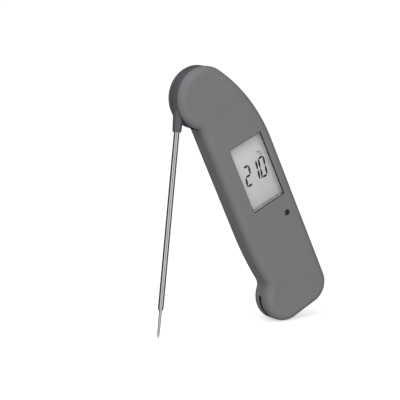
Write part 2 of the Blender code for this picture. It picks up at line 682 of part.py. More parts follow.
def make_battery_group(frame):
    tray_x0, tray_x1, tray_z0, tray_z1 = tray_rectangle()
    tray_front = FACE_INNER_Y + PART_GAP
    tray = make_object("battery_tray", box_mesh(
        tray_x0, tray_x1, tray_front, BATTERY_Y + TRAY_REACH, tray_z0, tray_z1),
        "white_plastic", frame)
    hollow = make_object("tray_hollow", box_mesh(
        tray_x0 + TRAY_WALL, tray_x1 - TRAY_WALL, tray_front + TRAY_FLOOR, 2 * REAR_DEPTH,
        tray_z0 + TRAY_WALL, tray_z1 - TRAY_WALL), None, frame)
    cut(tray, hollow)

    plate_top = tray_z1 - TRAY_WALL - PART_GAP
    plate_bottom = plate_top - CONTACT_THICKNESS
    half_width = BATTERY_RADIUS - CONTACT_MARGIN
    make_object("battery_contact_plate", box_mesh(
        BATTERY_X - half_width, BATTERY_X + half_width, BATTERY_Y - half_width,
        BATTERY_Y + half_width, plate_bottom, plate_top), "nickel", frame)

    nub_top = plate_bottom - PART_GAP
    cell_top = nub_top - BATTERY_NUB_LENGTH
    cell_bottom = cell_top - BATTERY_LENGTH
    turned("battery_cell", (
        (0, nub_top), (BATTERY_NUB_RADIUS, nub_top), (BATTERY_NUB_RADIUS, cell_top),
        (BATTERY_RADIUS - CAN_EDGE, cell_top), (BATTERY_RADIUS, cell_top - CAN_EDGE),
        (BATTERY_RADIUS, cell_bottom + CAN_EDGE), (BATTERY_RADIUS - CAN_EDGE, cell_bottom),
        (0, cell_bottom)), "cell_wrap", frame, location=(BATTERY_X, BATTERY_Y, 0), axis="Z", steps=32)
    make_coil("battery_contact_spring", frame, (BATTERY_X, BATTERY_Y, 0),
              cell_bottom - PART_GAP - CONTACT_SPRING_LENGTH, cell_bottom - PART_GAP)
    make_cover(frame)


def make_cover(frame):
    x0, x1, z0, z1 = cover_rectangle()
    screw_x, screw_z = cover_screw_place()
    cover = make_object("battery_cover", rounded_plate(
        x0, x1, z0, z1, COVER_CORNER, cover_inner_y(), REAR_DEPTH), "case_grey", frame)
    head_seat = REAR_DEPTH - COVER_SCREW_HEAD_HEIGHT - HEAD_SINK
    sink = make_object("cover_screw_sink", rod_mesh(
        COVER_SCREW_HEAD_RADIUS + SLIDING_GAP, (screw_x, head_seat - SLIDING_GAP, screw_z),
        (screw_x, 2 * REAR_DEPTH, screw_z)), None, frame)
    hole = make_object("cover_screw_hole", rod_mesh(
        COVER_SCREW_RADIUS + THREAD_ROOM, (screw_x, 0, screw_z), (screw_x, REAR_DEPTH, screw_z)),
        None, frame)
    cut(cover, sink, hole)
    make_screw("battery_cover_screw", frame, screw_x, screw_z, head_seat,
               COVER_SCREW_HEAD_RADIUS, COVER_SCREW_HEAD_HEIGHT, COVER_SCREW_RADIUS,
               COVER_SCREW_LENGTH - SCREW_TIP_ROOM)

    hatch_x0, hatch_x1, hatch_z0, hatch_z1 = hatch_rectangle()
    seal_back = cover_inner_y() - PART_GAP
    make_window_frame("battery_cover_seal", (
        hatch_x0 + PART_GAP, hatch_x1 - PART_GAP, hatch_z0 + PART_GAP, hatch_z1 - PART_GAP),
        COVER_CORNER - COVER_LEDGE - PART_GAP, COVER_SEAL_THICKNESS,
        seal_back - COVER_RIM_DEPTH, seal_back, "black_rubber", frame)


def make_screw(name, frame, x, z, seat_y, head_radius, head_height, shank_radius, length):
    """A pan-head screw along Y: its head stands out of seat_y towards the back."""
    slot = 0.25 * head_height
    turned(name, (
        (0, seat_y + head_height), (head_radius - slot, seat_y + head_height),
        (head_radius, seat_y + head_height - slot), (head_radius, seat_y),
        (shank_radius, seat_y), (shank_radius, seat_y - length + shank_radius / 2),
        (shank_radius / 2, seat_y - length), (0, seat_y - length)),
        "steel", frame, location=(x, 0, z), axis="Y", steps=24)


def make_case_screws(frame):
    for number, (x, z) in enumerate(screw_places(), 1):
        seat = SCREW_SEAT_Y + PART_GAP
        make_screw(f"case_screw_{number}", frame, x, z, seat, SCREW_HEAD_RADIUS,
                   SCREW_HEAD_HEIGHT, SCREW_SHANK_RADIUS, seat + SCREW_BITE - SCREW_TIP_ROOM)


def make_coil(name, frame, centre, bottom, top):
    """A conical contact spring with its axis along Z."""
    bottom += SPRING_WIRE
    top -= SPRING_WIRE
    curve = bpy.data.curves.new(name, "CURVE")
    curve.dimensions = "3D"
    curve.bevel_depth = SPRING_WIRE
    curve.bevel_resolution = 1
    curve.use_fill_caps = True
    count = SPRING_TURNS * 16
    spline = curve.splines.new("POLY")
    spline.points.add(count)
    for number in range(count + 1):
        share = number / count
        angle = share * SPRING_TURNS * tau
        radius = SPRING_WIDE + (SPRING_NARROW - SPRING_WIDE) * share
        height = bottom + (top - bottom) * share
        spline.points[number].co = (radius * cos(angle), radius * sin(angle), height, 1)
    obj = bpy.data.objects.new(name, curve)
    obj.parent = frame
    obj.location = centre
    curve.materials.append(finish("nickel"))
    parts.objects.link(obj)
    return obj


# ================================================================ display and electronics
def make_display(frame):
    make_window_frame("display_bezel", display_rectangle(BEZEL_LINING),
                      DISPLAY_CORNER + BEZEL_LINING, BEZEL_LINING,
                      -FRONT_DEPTH + LIP_DEPTH + SLIDING_GAP, FACE_INNER_Y, "black_plastic", frame)
    window_front = -FRONT_DEPTH + WINDOW_SINK
    make_object("display_window", rounded_plate(
        *display_rectangle(-WINDOW_CLEARANCE), DISPLAY_CORNER - WINDOW_CLEARANCE, window_front,
        window_front + WINDOW_THICKNESS),
        "clear_plastic", frame)
    panel = display_rectangle(LCD_MARGIN)
    x0, x1, z0, z1 = panel
    make_object("lcd_panel", box_mesh(x0, x1, LCD_FRONT_Y, LCD_BACK_Y, z0, z1), "lcd_grey", frame)
    guide_front = LCD_BACK_Y + PART_GAP
    strip = STRIP_WIDTH + PART_GAP
    led_room = LAMP_WIDTH + PART_GAP + SLIDING_GAP
    make_object("backlight_guide", box_mesh(
        x0 + led_room, x1, guide_front, GUIDE_BACK_Y, z0 + strip, z1 - strip), "light_guide", frame)
    middle = (z0 + z1) / 2
    for number, z in enumerate((middle - DISPLAY_HEIGHT / 4, middle + DISPLAY_HEIGHT / 4), 1):
        make_object(f"backlight_led_{number}", box_mesh(
            x0 + SLIDING_GAP, x0 + SLIDING_GAP + LAMP_WIDTH, guide_front, GUIDE_BACK_Y,
            z - LAMP_LENGTH / 2, z + LAMP_LENGTH / 2), "led_white", frame)
    for name, low in (("lcd_connector_lower", z0), ("lcd_connector_upper", z1 - STRIP_WIDTH)):
        make_object(name, box_mesh(x0 + STRIP_WIDTH / 2, x1 - STRIP_WIDTH / 2, guide_front,
                                   GUIDE_BACK_Y, low, low + STRIP_WIDTH), "black_rubber", frame)
    make_object("light_sensor_lens", rod_mesh(
        SENSOR_RADIUS, (SENSOR_X, -FRONT_DEPTH + SENSOR_LENS_SINK, -SENSOR_DROP),
        (SENSOR_X, FACE_INNER_Y - SLIDING_GAP, -SENSOR_DROP)), "black_plastic", frame)
    width, thickness, height = SENSOR_CHIP
    chip_back = BOARD_FRONT_Y - PART_GAP
    make_object("light_sensor", box_mesh(
        SENSOR_X - width / 2, SENSOR_X + width / 2, chip_back - thickness, chip_back,
        -SENSOR_DROP - height / 2, -SENSOR_DROP + height / 2), "chip_black", frame)


def make_board(frame):
    """The main board, which fills the room from the hub well down to the battery tray."""
    edge = 2 * PART_GAP + SEAL_THICKNESS
    loops = [outline(SIDE_WALL + edge, y) for y in (BOARD_FRONT_Y, BOARD_BACK_Y)]
    board = room_mesh_tool("main_board", frame, loops, edge, "board_green")
    below = make_object("board_end", box_mesh(
        -2 * RIGHT_EDGE_X, 2 * RIGHT_EDGE_X, -REAR_DEPTH, REAR_DEPTH, -2 * HEEL_DROP,
        tray_rectangle()[3] + PART_GAP), None, frame)
    above = make_object("board_top", box_mesh(
        WELL_RADIUS - OVERCUT, 2 * RIGHT_EDGE_X, -REAR_DEPTH, REAR_DEPTH, -BOARD_TOP_DROP,
        2 * HEAD_RADIUS), None, frame)
    cut(board, below, above)
    for number, (x, z) in enumerate(HEAD_SCREWS, 1):
        notch = make_object(f"board_notch_{number}", rod_mesh(
            BOSS_RADIUS + PART_GAP, (x, -REAR_DEPTH, z), (x, REAR_DEPTH, z)), None, frame)
        cut(board, notch)

    chip_front = BOARD_BACK_Y + PART_GAP
    for name, x, drop, width, height, thickness in CHIPS:
        make_object(name, box_mesh(
            x - width / 2, x + width / 2, chip_front, chip_front + thickness,
            -drop - height / 2, -drop + height / 2), "chip_black", frame)
    reed_y = chip_front + REED_RADIUS
    make_object("reed_switch", rod_mesh(
        REED_RADIUS, (REED_X, reed_y, -REED_DROP), (REED_X + REED_LENGTH, reed_y, -REED_DROP),
        segments=16), "glass_tube", frame)


# ================================================================ hinge
def slip_ring_front():
    """The depth at which the slip rings start, just behind the hub's lid."""
    return HUB_THICKNESS / 2 + SLIDING_GAP / 2


def make_hinge(frame):
    """The pieces of the hinge that stay with the case."""
    low = -WELL_HALF_DEPTH - SPINDLE_SOCKET + PART_GAP
    high = WELL_HALF_DEPTH + HINGE_POCKET_DEPTH - PART_GAP
    turned("pivot_spindle", (
        (SPINDLE_RADIUS, high), (SPINDLE_RADIUS, low), (SPINDLE_BORE, low), (SPINDLE_BORE, high)),
        "steel", frame, axis="Y", ring=True)
    carrier_front = high - CARRIER_THICKNESS
    bore = SPINDLE_RADIUS + PART_GAP
    turned("contact_carrier", (
        (CARRIER_RADIUS, high), (CARRIER_RADIUS, carrier_front),
        (bore, carrier_front), (bore, high)), "board_green", frame, axis="Y", ring=True)
    ring_back = slip_ring_front() + SLIP_RING_THICKNESS
    for number, radius in enumerate(SLIP_RING_RADII, 1):
        side = 1 if number == 1 else -1
        make_object(f"contact_finger_{number}", rod_mesh(
            SLIP_RING_WIDTH / 2 - FINGER_CLEARANCE, (side * radius, ring_back + PART_GAP, 0),
            (side * radius, carrier_front - PART_GAP, 0), segments=16), "brass", frame)
    seal_y = HUB_THICKNESS / 2 - HUB_SEAL_WIRE / 2 + HUB_SIDE_GAP / 2
    for name, side in (("hub_seal_front", -1), ("hub_seal_rear", 1)):
        make_ring(name, frame, HUB_SEAL_RADIUS, HUB_SEAL_WIRE / 2, side * seal_y, "black_rubber")
    washer = -WELL_HALF_DEPTH + PART_GAP / 2
    inner = SPINDLE_RADIUS + PART_GAP
    turned("friction_washer", (
        (FRICTION_RADIUS, washer + FRICTION_THICKNESS), (FRICTION_RADIUS, washer),
        (inner, washer), (inner, washer + FRICTION_THICKNESS)), "steel", frame, axis="Y", ring=True)


def make_ring(name, frame, radius, wire, y, finish_name):
    profile = []
    for step in range(10):
        angle = pi / 2 - tau * step / 10
        profile.append((radius + wire * cos(angle), y + wire * sin(angle)))
    return turned(name, profile, finish_name, frame, axis="Y", steps=48, ring=True)


def make_hub(frame):
    """The turning disc, its boot and the pieces inside it."""
    half = HUB_THICKNESS / 2
    bore = SPINDLE_RADIUS + PART_GAP
    lid_seat = half - HUB_LID_THICKNESS - PART_GAP
    washer_floor = -WELL_HALF_DEPTH + FRICTION_THICKNESS + PART_GAP
    lip = HUB_POCKET_OUTER + LID_LEDGE
    hub = turned("probe_hub", (
        (bore, half), (HUB_RADIUS - HUB_EDGE, half), (HUB_RADIUS, half - HUB_EDGE),
        (HUB_RADIUS, HUB_EDGE - half), (HUB_RADIUS - HUB_EDGE, -half),
        (FRICTION_RADIUS + PART_GAP, -half), (FRICTION_RADIUS + PART_GAP, washer_floor),
        (bore, washer_floor)), "hub_grey", frame, axis="Y", steps=72, ring=True)
    x = -PROBE_OFFSET
    boot = make_object("boot_body", rod_mesh(
        BOOT_ROOT_RADIUS, (x, 0, 0), (x, 0, -BOOT_REACH), BOOT_END_RADIUS, segments=40), None, frame)
    add(hub, boot)
    above = half + OVERCUT
    groove_in = HUB_SEAL_RADIUS - HUB_SEAL_WIRE / 2 - PART_GAP
    groove_out = HUB_SEAL_RADIUS + HUB_SEAL_WIRE / 2 + PART_GAP
    groove_floor = half - HUB_SEAL_WIRE + HUB_SIDE_GAP / 2 - SLIDING_GAP
    grooves = [turned(name, (
        (groove_out, high), (groove_out, low), (groove_in, low), (groove_in, high)),
        None, frame, axis="Y", steps=72, ring=True)
        for name, low, high in (("seal_groove_front", -above, -groove_floor),
                                ("seal_groove_rear", groove_floor, above))]
    pocket = turned("hub_pocket", (
        (lip, above), (lip, lid_seat), (HUB_POCKET_OUTER, lid_seat),
        (HUB_POCKET_OUTER, -half + HUB_FLOOR), (HUB_POCKET_INNER, -half + HUB_FLOOR),
        (HUB_POCKET_INNER, lid_seat), (bore - OVERCUT, lid_seat), (bore - OVERCUT, above)),
        None, frame, axis="Y", steps=72, ring=True)
    ferrule_low, ferrule_high = ferrule_ends()
    ferrule_bore = make_object("boot_ferrule_bore", rod_mesh(
        TUBE_RADIUS + FERRULE_WALL + 2 * SLIDING_GAP, (x, 0, ferrule_low - PART_GAP),
        (x, 0, ferrule_high + PART_GAP)), None, frame)
    tube_bore = make_object("boot_tube_bore", rod_mesh(
        TUBE_RADIUS + SLIDING_GAP, (x, 0, -BOOT_REACH - OVERCUT),
        (x, 0, -BOOT_REACH + TUBE_INSERTION + PART_GAP)), None, frame)
    lead_hole = make_object("boot_lead_hole", rod_mesh(
        CORE_RADIUS + PART_GAP, (x, 0, -BOOT_REACH), (x, 0, HUB_POCKET_INNER / 2), segments=16),
        None, frame)
    cut(hub, *grooves, pocket, ferrule_bore, tube_bore, lead_hole)

    lid_front = half - HUB_LID_THICKNESS
    turned("hub_lid", (
        (lip - PART_GAP, half), (lip - PART_GAP, lid_front), (bore, lid_front), (bore, half)),
        "hub_grey", frame, axis="Y", steps=64, ring=True)
    for number, radius in enumerate(SLIP_RING_RADII, 1):
        inner, outer = radius - SLIP_RING_WIDTH / 2, radius + SLIP_RING_WIDTH / 2
        low = slip_ring_front()
        turned(f"slip_ring_{number}", (
            (outer, low + SLIP_RING_THICKNESS), (outer, low), (inner, low),
            (inner, low + SLIP_RING_THICKNESS)), "brass", frame, axis="Y", steps=48, ring=True)


# ================================================================ probe
def ferrule_ends():
    low = -BOOT_REACH + FERRULE_SINK
    return low, low + FERRULE_LENGTH


def make_probe(frame):
    x = -PROBE_OFFSET
    top = -BOOT_REACH + TUBE_INSERTION
    tip = -PROBE_REACH
    needle_top = tip + NEEDLE_LENGTH
    tube_end = needle_top + SHOULDER_LENGTH
    bore = TUBE_RADIUS - TUBE_WALL
    turned("probe_tube", (
        (TUBE_RADIUS, top), (TUBE_RADIUS, tube_end), (bore, tube_end), (bore, top)),
        "steel", frame, location=(x, 0, 0), axis="Z", steps=32, ring=True)

    spigot = bore - SLIDING_GAP
    spigot_top = tube_end + 3 * TUBE_RADIUS
    head = tube_end - SLIDING_GAP / 2
    taper = [(NEEDLE_RADIUS * share, tip + place * NEEDLE_LENGTH) for place, share in NEEDLE_TAPER]
    turned("probe_needle", (
        (0, spigot_top), (spigot, spigot_top), (spigot, head), (TUBE_RADIUS, head),
        (NEEDLE_RADIUS, needle_top), *taper, (POINT_RADIUS, tip + POINT_RADIUS), (0, tip)),
        "steel", frame, location=(x, 0, 0), axis="Z", steps=24)

    make_object("thermocouple_core", rod_mesh(
        CORE_RADIUS, (x, 0, spigot_top + PART_GAP), (x, 0, top + CORE_RISE), segments=12),
        "brass", frame)
    ferrule_low, ferrule_high = ferrule_ends()
    inner = TUBE_RADIUS + SLIDING_GAP / 2
    turned("tube_ferrule", (
        (inner + FERRULE_WALL, ferrule_high), (inner + FERRULE_WALL, ferrule_low),
        (inner, ferrule_low), (inner, ferrule_high)),
        "brass", frame, location=(x, 0, 0), axis="Z", steps=24, ring=True)

    floor = -HUB_THICKNESS / 2 + HUB_FLOOR + PART_GAP
    board_in, board_out = HUB_POCKET_INNER + PART_GAP, HUB_POCKET_OUTER - PART_GAP
    turned("cold_junction_board", (
        (board_out, floor + COLD_BOARD_THICKNESS), (board_out, floor), (board_in, floor),
        (board_in, floor + COLD_BOARD_THICKNESS)), "board_green", frame, axis="Y", steps=40, ring=True)
    magnet_x = (board_in + board_out) / 2
    magnet_front = floor + COLD_BOARD_THICKNESS + PART_GAP
    make_object("hub_magnet", rod_mesh(
        MAGNET_RADIUS, (magnet_x, magnet_front, 0), (magnet_x, magnet_front + MAGNET_LENGTH, 0),
        segments=20), "nickel", frame)


# ================================================================ build
def pivot_place():
    """The pivot's place that puts the whole object's box over the origin and on the floor."""
    corner_x, corner_z, corner_radius = body_arcs()[CORNER_ARC][:3]
    right = corner_x * cos(BODY_LEAN) - corner_z * sin(BODY_LEAN) + corner_radius
    tip = -PROBE_OFFSET * cos(PROBE_TILT) - PROBE_REACH * sin(PROBE_TILT)
    left = min(tip, -HEAD_RADIUS)
    return -(left + right) / 2, (FRONT_DEPTH - REAR_DEPTH) / 2, PIVOT_HEIGHT


clear_scene()
parts = make_collection("thermometer")
tools = make_collection("cutting_tools")
tools.hide_render = True

body = make_frame("body_frame", pivot_place(), -BODY_LEAN)
probe = make_frame("probe_frame", pivot_place(), PROBE_TILT)

slot = needle_slot_tool(body)
make_front_case(body, slot)
make_rear_case(body, slot)
make_case_seal(body)
make_display(body)
make_board(body)
make_battery_group(body)
make_case_screws(body)
make_hinge(body)
make_hub(probe)
make_probe(probe)
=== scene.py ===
# %% [markdown]
# # A folding pocket thermometer
#
# The real object has a flat grey body with a round head, and a thin steel probe that folds
# out of the side of the body on a disc inside the head. The solid model of it, with every size
# and the one moving joint, is already made and comes in as a fixed frame. This lesson dresses
# that frame: it rebuilds the pieces that are seen with smooth surfaces and rounded edges,
# gives every piece a finish, and lights the whole thing on a white table.
# %% Load the fixed frame
import json
from math import atan2, cos, hypot, pi, radians, sin, sqrt, tan, tau

import bmesh
import bpy
from mathutils import Matrix, Vector


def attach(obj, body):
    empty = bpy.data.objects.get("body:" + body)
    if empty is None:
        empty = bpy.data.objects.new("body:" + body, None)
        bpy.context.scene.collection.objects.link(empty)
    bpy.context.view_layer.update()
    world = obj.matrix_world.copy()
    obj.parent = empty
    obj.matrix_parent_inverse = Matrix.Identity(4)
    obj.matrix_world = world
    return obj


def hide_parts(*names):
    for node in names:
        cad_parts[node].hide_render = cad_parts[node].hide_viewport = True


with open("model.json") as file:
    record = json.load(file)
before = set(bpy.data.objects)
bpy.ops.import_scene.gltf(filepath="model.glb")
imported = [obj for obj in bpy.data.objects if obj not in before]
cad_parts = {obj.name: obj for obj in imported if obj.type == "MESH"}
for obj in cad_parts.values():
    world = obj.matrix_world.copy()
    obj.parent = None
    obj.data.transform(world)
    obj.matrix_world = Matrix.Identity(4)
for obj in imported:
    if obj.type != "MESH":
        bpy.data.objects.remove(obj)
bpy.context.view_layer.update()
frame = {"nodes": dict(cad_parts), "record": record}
MM = 0.001

# %% [markdown]
# ## Two sets of axes
#
# The body leans over and the probe stands at its own angle, so neither lies along the table's
# axes. It is easier to model each of them upright round the pivot, and to turn the finished mesh
# into place afterwards. The pivot's place and the fold angle come from the joint of the frame.
# The matrices move the mesh itself, so every object stays at the origin, unturned.
# %% The pivot, the lean and the tilt
fold_joint = frame["record"]["behaviour"]["joints"][0]
pivot = Vector(fold_joint["pos_m"])
BODY_LEAN = radians(25)
PROBE_TILT = -radians(fold_joint["range_deg"][0]) - BODY_LEAN
body_place = Matrix.Translation(pivot) @ Matrix.Rotation(-BODY_LEAN, 4, "Y")
probe_place = Matrix.Translation(pivot) @ Matrix.Rotation(PROBE_TILT, 4, "Y")
print("pivot", [round(v, 4) for v in pivot], "probe tilt", round(PROBE_TILT, 4))

# %% [markdown]
# ## The camera
#
# A product picture is taken from some way off with a long lens, which keeps the upright lines
# nearly parallel. The camera looks from the front left, a little above the table.
# %% Camera
CAMERA_AZIMUTH, CAMERA_ELEVATION = radians(-32.937), radians(9.192)
CAMERA_DISTANCE, LENS, FILM_WIDTH = 796.75 * MM, 136.6, 36
LOOK_AT = Vector((-0.193 * MM, 0, -53.943 * MM))
camera_back = Vector((sin(CAMERA_AZIMUTH) * cos(CAMERA_ELEVATION),
                      -cos(CAMERA_AZIMUTH) * cos(CAMERA_ELEVATION), sin(CAMERA_ELEVATION)))
camera_data = bpy.data.cameras.new("camera")
camera_data.sensor_width = FILM_WIDTH
camera_data.lens = LENS
camera = bpy.data.objects.new("camera", camera_data)
camera.location = pivot + LOOK_AT + CAMERA_DISTANCE * camera_back
camera.rotation_euler = camera_back.to_track_quat("Z", "Y").to_euler()
bpy.context.scene.collection.objects.link(camera)
bpy.context.scene.camera = camera
print("camera at", [round(v, 3) for v in camera.location])

# %% [markdown]
# ## Soft studio light
#
# The white surroundings are a world colour that changes with direction: brightest in front, less
# bright above and behind, and dim on the right, so that the right-hand edges end in a darker
# line. Polished steel is lit by what it mirrors, so rays that come off a shiny surface see a
# second world, with dark upright bands like the black cards that a photographer stands beside
# metal. Three small helpers build the node trees here and in the finishes.
# %% Node helpers
def add_node(tree, kind, **settings):
    node = tree.nodes.new(kind)
    for key, value in settings.items():
        setattr(node, key, value)
    return node


def math_node(tree, operation, first, second=None, third=None):
    node = add_node(tree, "ShaderNodeMath", operation=operation)
    for socket, value in zip(node.inputs, (first, second, third)):
        if isinstance(value, (int, float)):
            socket.default_value = value
        elif value is not None:
            tree.links.new(value, socket)
    return node.outputs[0]


def ramp(tree, value, stops, interpolation="LINEAR"):
    node = add_node(tree, "ShaderNodeValToRGB")
    node.color_ramp.interpolation = interpolation
    elements = node.color_ramp.elements
    while len(elements) < len(stops):
        elements.new(0.5)
    for element, (position, colour) in zip(elements, stops):
        element.position = position
        element.color = (*colour, 1) if isinstance(colour, tuple) else (colour, colour, colour, 1)
    tree.links.new(value, node.inputs["Fac"])
    return node.outputs["Color"]


print("node helpers are ready")

# %% [markdown]
# Each term of the soft light is how far a direction points one way, times the light from there.
# %% Soft light by direction
FRONT_LIGHT, BACK_LIGHT, TOP_LIGHT, FLOOR_LIGHT, BASE_LIGHT = 1.0, 0.45, 0.80, 0.30, 0.05
RIGHT_SHADE, LEAST_LIGHT = 0.35, 0.02
world = bpy.data.worlds.new("white_room")
world.use_nodes = True
sky = world.node_tree
sky.nodes.clear()
direction = add_node(sky, "ShaderNodeTexCoord").outputs["Generated"]
parts_of_direction = add_node(sky, "ShaderNodeSeparateXYZ")
sky.links.new(direction, parts_of_direction.inputs[0])
from_front = math_node(sky, "MAXIMUM", math_node(
    sky, "MULTIPLY", parts_of_direction.outputs["Y"], -1.0), 0.0)
from_above = math_node(sky, "MAXIMUM", parts_of_direction.outputs["Z"], 0.0)
from_below = math_node(sky, "MAXIMUM", math_node(
    sky, "MULTIPLY", parts_of_direction.outputs["Z"], -1.0), 0.0)
from_behind = math_node(sky, "MAXIMUM", parts_of_direction.outputs["Y"], 0.0)
upright_light = math_node(sky, "MULTIPLY_ADD", from_above, TOP_LIGHT,
                          math_node(sky, "MULTIPLY_ADD", from_below, FLOOR_LIGHT, BASE_LIGHT))
level_light = math_node(sky, "MULTIPLY_ADD", from_front, FRONT_LIGHT,
                        math_node(sky, "MULTIPLY", from_behind, BACK_LIGHT))
from_right = math_node(sky, "MAXIMUM", parts_of_direction.outputs["X"], 0.0)
soft_light = math_node(sky, "MAXIMUM", math_node(
    sky, "MULTIPLY_ADD", from_right, -RIGHT_SHADE,
    math_node(sky, "ADD", level_light, upright_light)), LEAST_LIGHT)
print("soft light is set up")

# %% [markdown]
# The bands run round the compass, from behind on the left, past the front, to behind again.
# Camera rays that miss everything see plain white.
# %% Bands for the steel, and the finished world
heading = math_node(sky, "ARCTAN2", parts_of_direction.outputs["X"],
                    math_node(sky, "MULTIPLY", parts_of_direction.outputs["Y"], -1.0))
heading_share = math_node(sky, "MULTIPLY_ADD", heading, 1 / tau, 0.5)
BANDS = ((0.0, 0.05), (0.23, 0.05), (0.28, 0.95), (0.37, 1.05), (0.40, 0.16), (0.43, 0.16),
         (0.46, 0.9), (0.56, 1.1), (0.60, 0.08), (0.80, 0.04), (1.0, 0.05))
bands = ramp(sky, heading_share, BANDS)
rays = add_node(sky, "ShaderNodeLightPath")


def world_background(colour, strength):
    node = add_node(sky, "ShaderNodeBackground")
    if isinstance(colour, tuple):
        node.inputs["Color"].default_value = colour
    else:
        sky.links.new(colour, node.inputs["Color"])
    node.inputs["Strength"].default_value = strength
    return node.outputs[0]


def choose(test, otherwise, wanted):
    node = add_node(sky, "ShaderNodeMixShader")
    sky.links.new(test, node.inputs[0])
    sky.links.new(otherwise, node.inputs[1])
    sky.links.new(wanted, node.inputs[2])
    return node.outputs[0]


lighting = choose(rays.outputs["Is Glossy Ray"], world_background(soft_light, 1.0),
                  world_background(bands, 1.0))
seen = choose(rays.outputs["Is Camera Ray"], lighting, world_background((1, 1, 1, 1), 1.0))
sky.links.new(seen, add_node(sky, "ShaderNodeOutputWorld").inputs["Surface"])
bpy.context.scene.world = world
bpy.context.scene.view_settings.view_transform = "Standard"
print("world has", len(sky.nodes), "nodes")

# %% [markdown]
# ## The table
#
# A white table that glows a little stays white right to the edge of the picture, and still shows
# the soft dark patch where something stands on it. It is hidden from the light that bounces
# between surfaces, so that the room's light alone shades the object from below.
# %% Table
TABLE_HALF_SIDE, TABLE_WHITE, TABLE_GLOW = 12, 0.60, 0.58
table_mesh = bmesh.new()
bmesh.ops.create_grid(table_mesh, x_segments=1, y_segments=1, size=TABLE_HALF_SIDE)
table_data = bpy.data.meshes.new("table")
table_mesh.to_mesh(table_data)
table_mesh.free()
table = bpy.data.objects.new("table", table_data)
bpy.context.scene.collection.objects.link(table)
table_finish = bpy.data.materials.new("white_table")
table_finish.use_nodes = True
table_shader = table_finish.node_tree.nodes["Principled BSDF"]
table_shader.inputs["Base Color"].default_value = (TABLE_WHITE, TABLE_WHITE, TABLE_WHITE, 1)
table_shader.inputs["Roughness"].default_value = 0.9
table_shader.inputs["Specular IOR Level"].default_value = 0.0
table_shader.inputs["Emission Color"].default_value = (1, 1, 1, 1)
table_shader.inputs["Emission Strength"].default_value = TABLE_GLOW
table_data.materials.append(table_finish)
table.visible_glossy = False
table.visible_diffuse = False
print("table is in place")

# %% [markdown]
# One soft lamp at the left, high and in front, lights the left wall and the rim of the disc.
# %% Lamp
LAMP_SIDE, LAMP_POWER = 0.4, 3.4
LAMP_PLACE, LAMP_AIM = Vector((-0.70, -0.45, 0.80)), Vector((0.02, 0, 0.06))
lamp_data = bpy.data.lights.new("window_lamp", "AREA")
lamp_data.shape = "RECTANGLE"
lamp_data.size, lamp_data.size_y = LAMP_SIDE, LAMP_SIDE
lamp_data.energy = LAMP_POWER
lamp = bpy.data.objects.new("window_lamp", lamp_data)
lamp.location = LAMP_PLACE
lamp.rotation_euler = (LAMP_PLACE - LAMP_AIM).to_track_quat("Z", "Y").to_euler()
lamp.visible_glossy = False
bpy.context.scene.collection.objects.link(lamp)
print("lamp at", list(LAMP_PLACE))

# %% [markdown]
# ## Finishes
#
# A finish is more than a colour. A moulded case has the fine grain of its spark-eroded mould, a
# drawn tube has faint lines along it, and every surface is a little uneven in how it shines. All
# of that is noise at the right scale, laid on object coordinates, which here are metres in the
# frame: one helper builds it, and each finish only sets its numbers.
# %% One helper for every finish
finishes = {}


def make_finish(name, dark, light, roughness, metallic=0.0, grain=900.0, spread=0.08,
                bump=0.0, bump_size=0.02 * MM, stretch=(1, 1, 1), turn=0.0, patch=60.0):
    """A finish whose colour runs between dark and light with broad patches, and whose
    roughness and fine bump follow a grain of the given number of bumps to the metre."""
    material = bpy.data.materials.new(name)
    material.use_nodes = True
    tree = material.node_tree
    shader = tree.nodes["Principled BSDF"]
    shader.inputs["Metallic"].default_value = metallic
    place = add_node(tree, "ShaderNodeTexCoord").outputs["Object"]
    mapping = add_node(tree, "ShaderNodeMapping")
    mapping.inputs["Rotation"].default_value = (0, turn, 0)
    mapping.inputs["Scale"].default_value = stretch
    tree.links.new(place, mapping.inputs["Vector"])
    fine = add_node(tree, "ShaderNodeTexNoise")
    fine.inputs["Scale"].default_value = grain
    fine.inputs["Detail"].default_value = 4
    broad = add_node(tree, "ShaderNodeTexNoise")
    broad.inputs["Scale"].default_value = patch
    broad.inputs["Detail"].default_value = 3
    tree.links.new(mapping.outputs[0], fine.inputs["Vector"])
    tree.links.new(place, broad.inputs["Vector"])
    both = math_node(tree, "ADD", math_node(tree, "MULTIPLY", fine.outputs["Fac"], 0.5),
                     math_node(tree, "MULTIPLY", broad.outputs["Fac"], 0.5))
    tree.links.new(ramp(tree, both, ((0.35, dark), (0.65, light))), shader.inputs["Base Color"])
    tree.links.new(math_node(tree, "MULTIPLY_ADD", fine.outputs["Fac"], spread,
                             roughness - spread / 2), shader.inputs["Roughness"])
    if bump:
        relief = add_node(tree, "ShaderNodeBump")
        relief.inputs["Strength"].default_value = bump
        relief.inputs["Distance"].default_value = bump_size
        tree.links.new(fine.outputs["Fac"], relief.inputs["Height"])
        tree.links.new(relief.outputs["Normal"], shader.inputs["Normal"])
    finishes[name] = material
    return shader


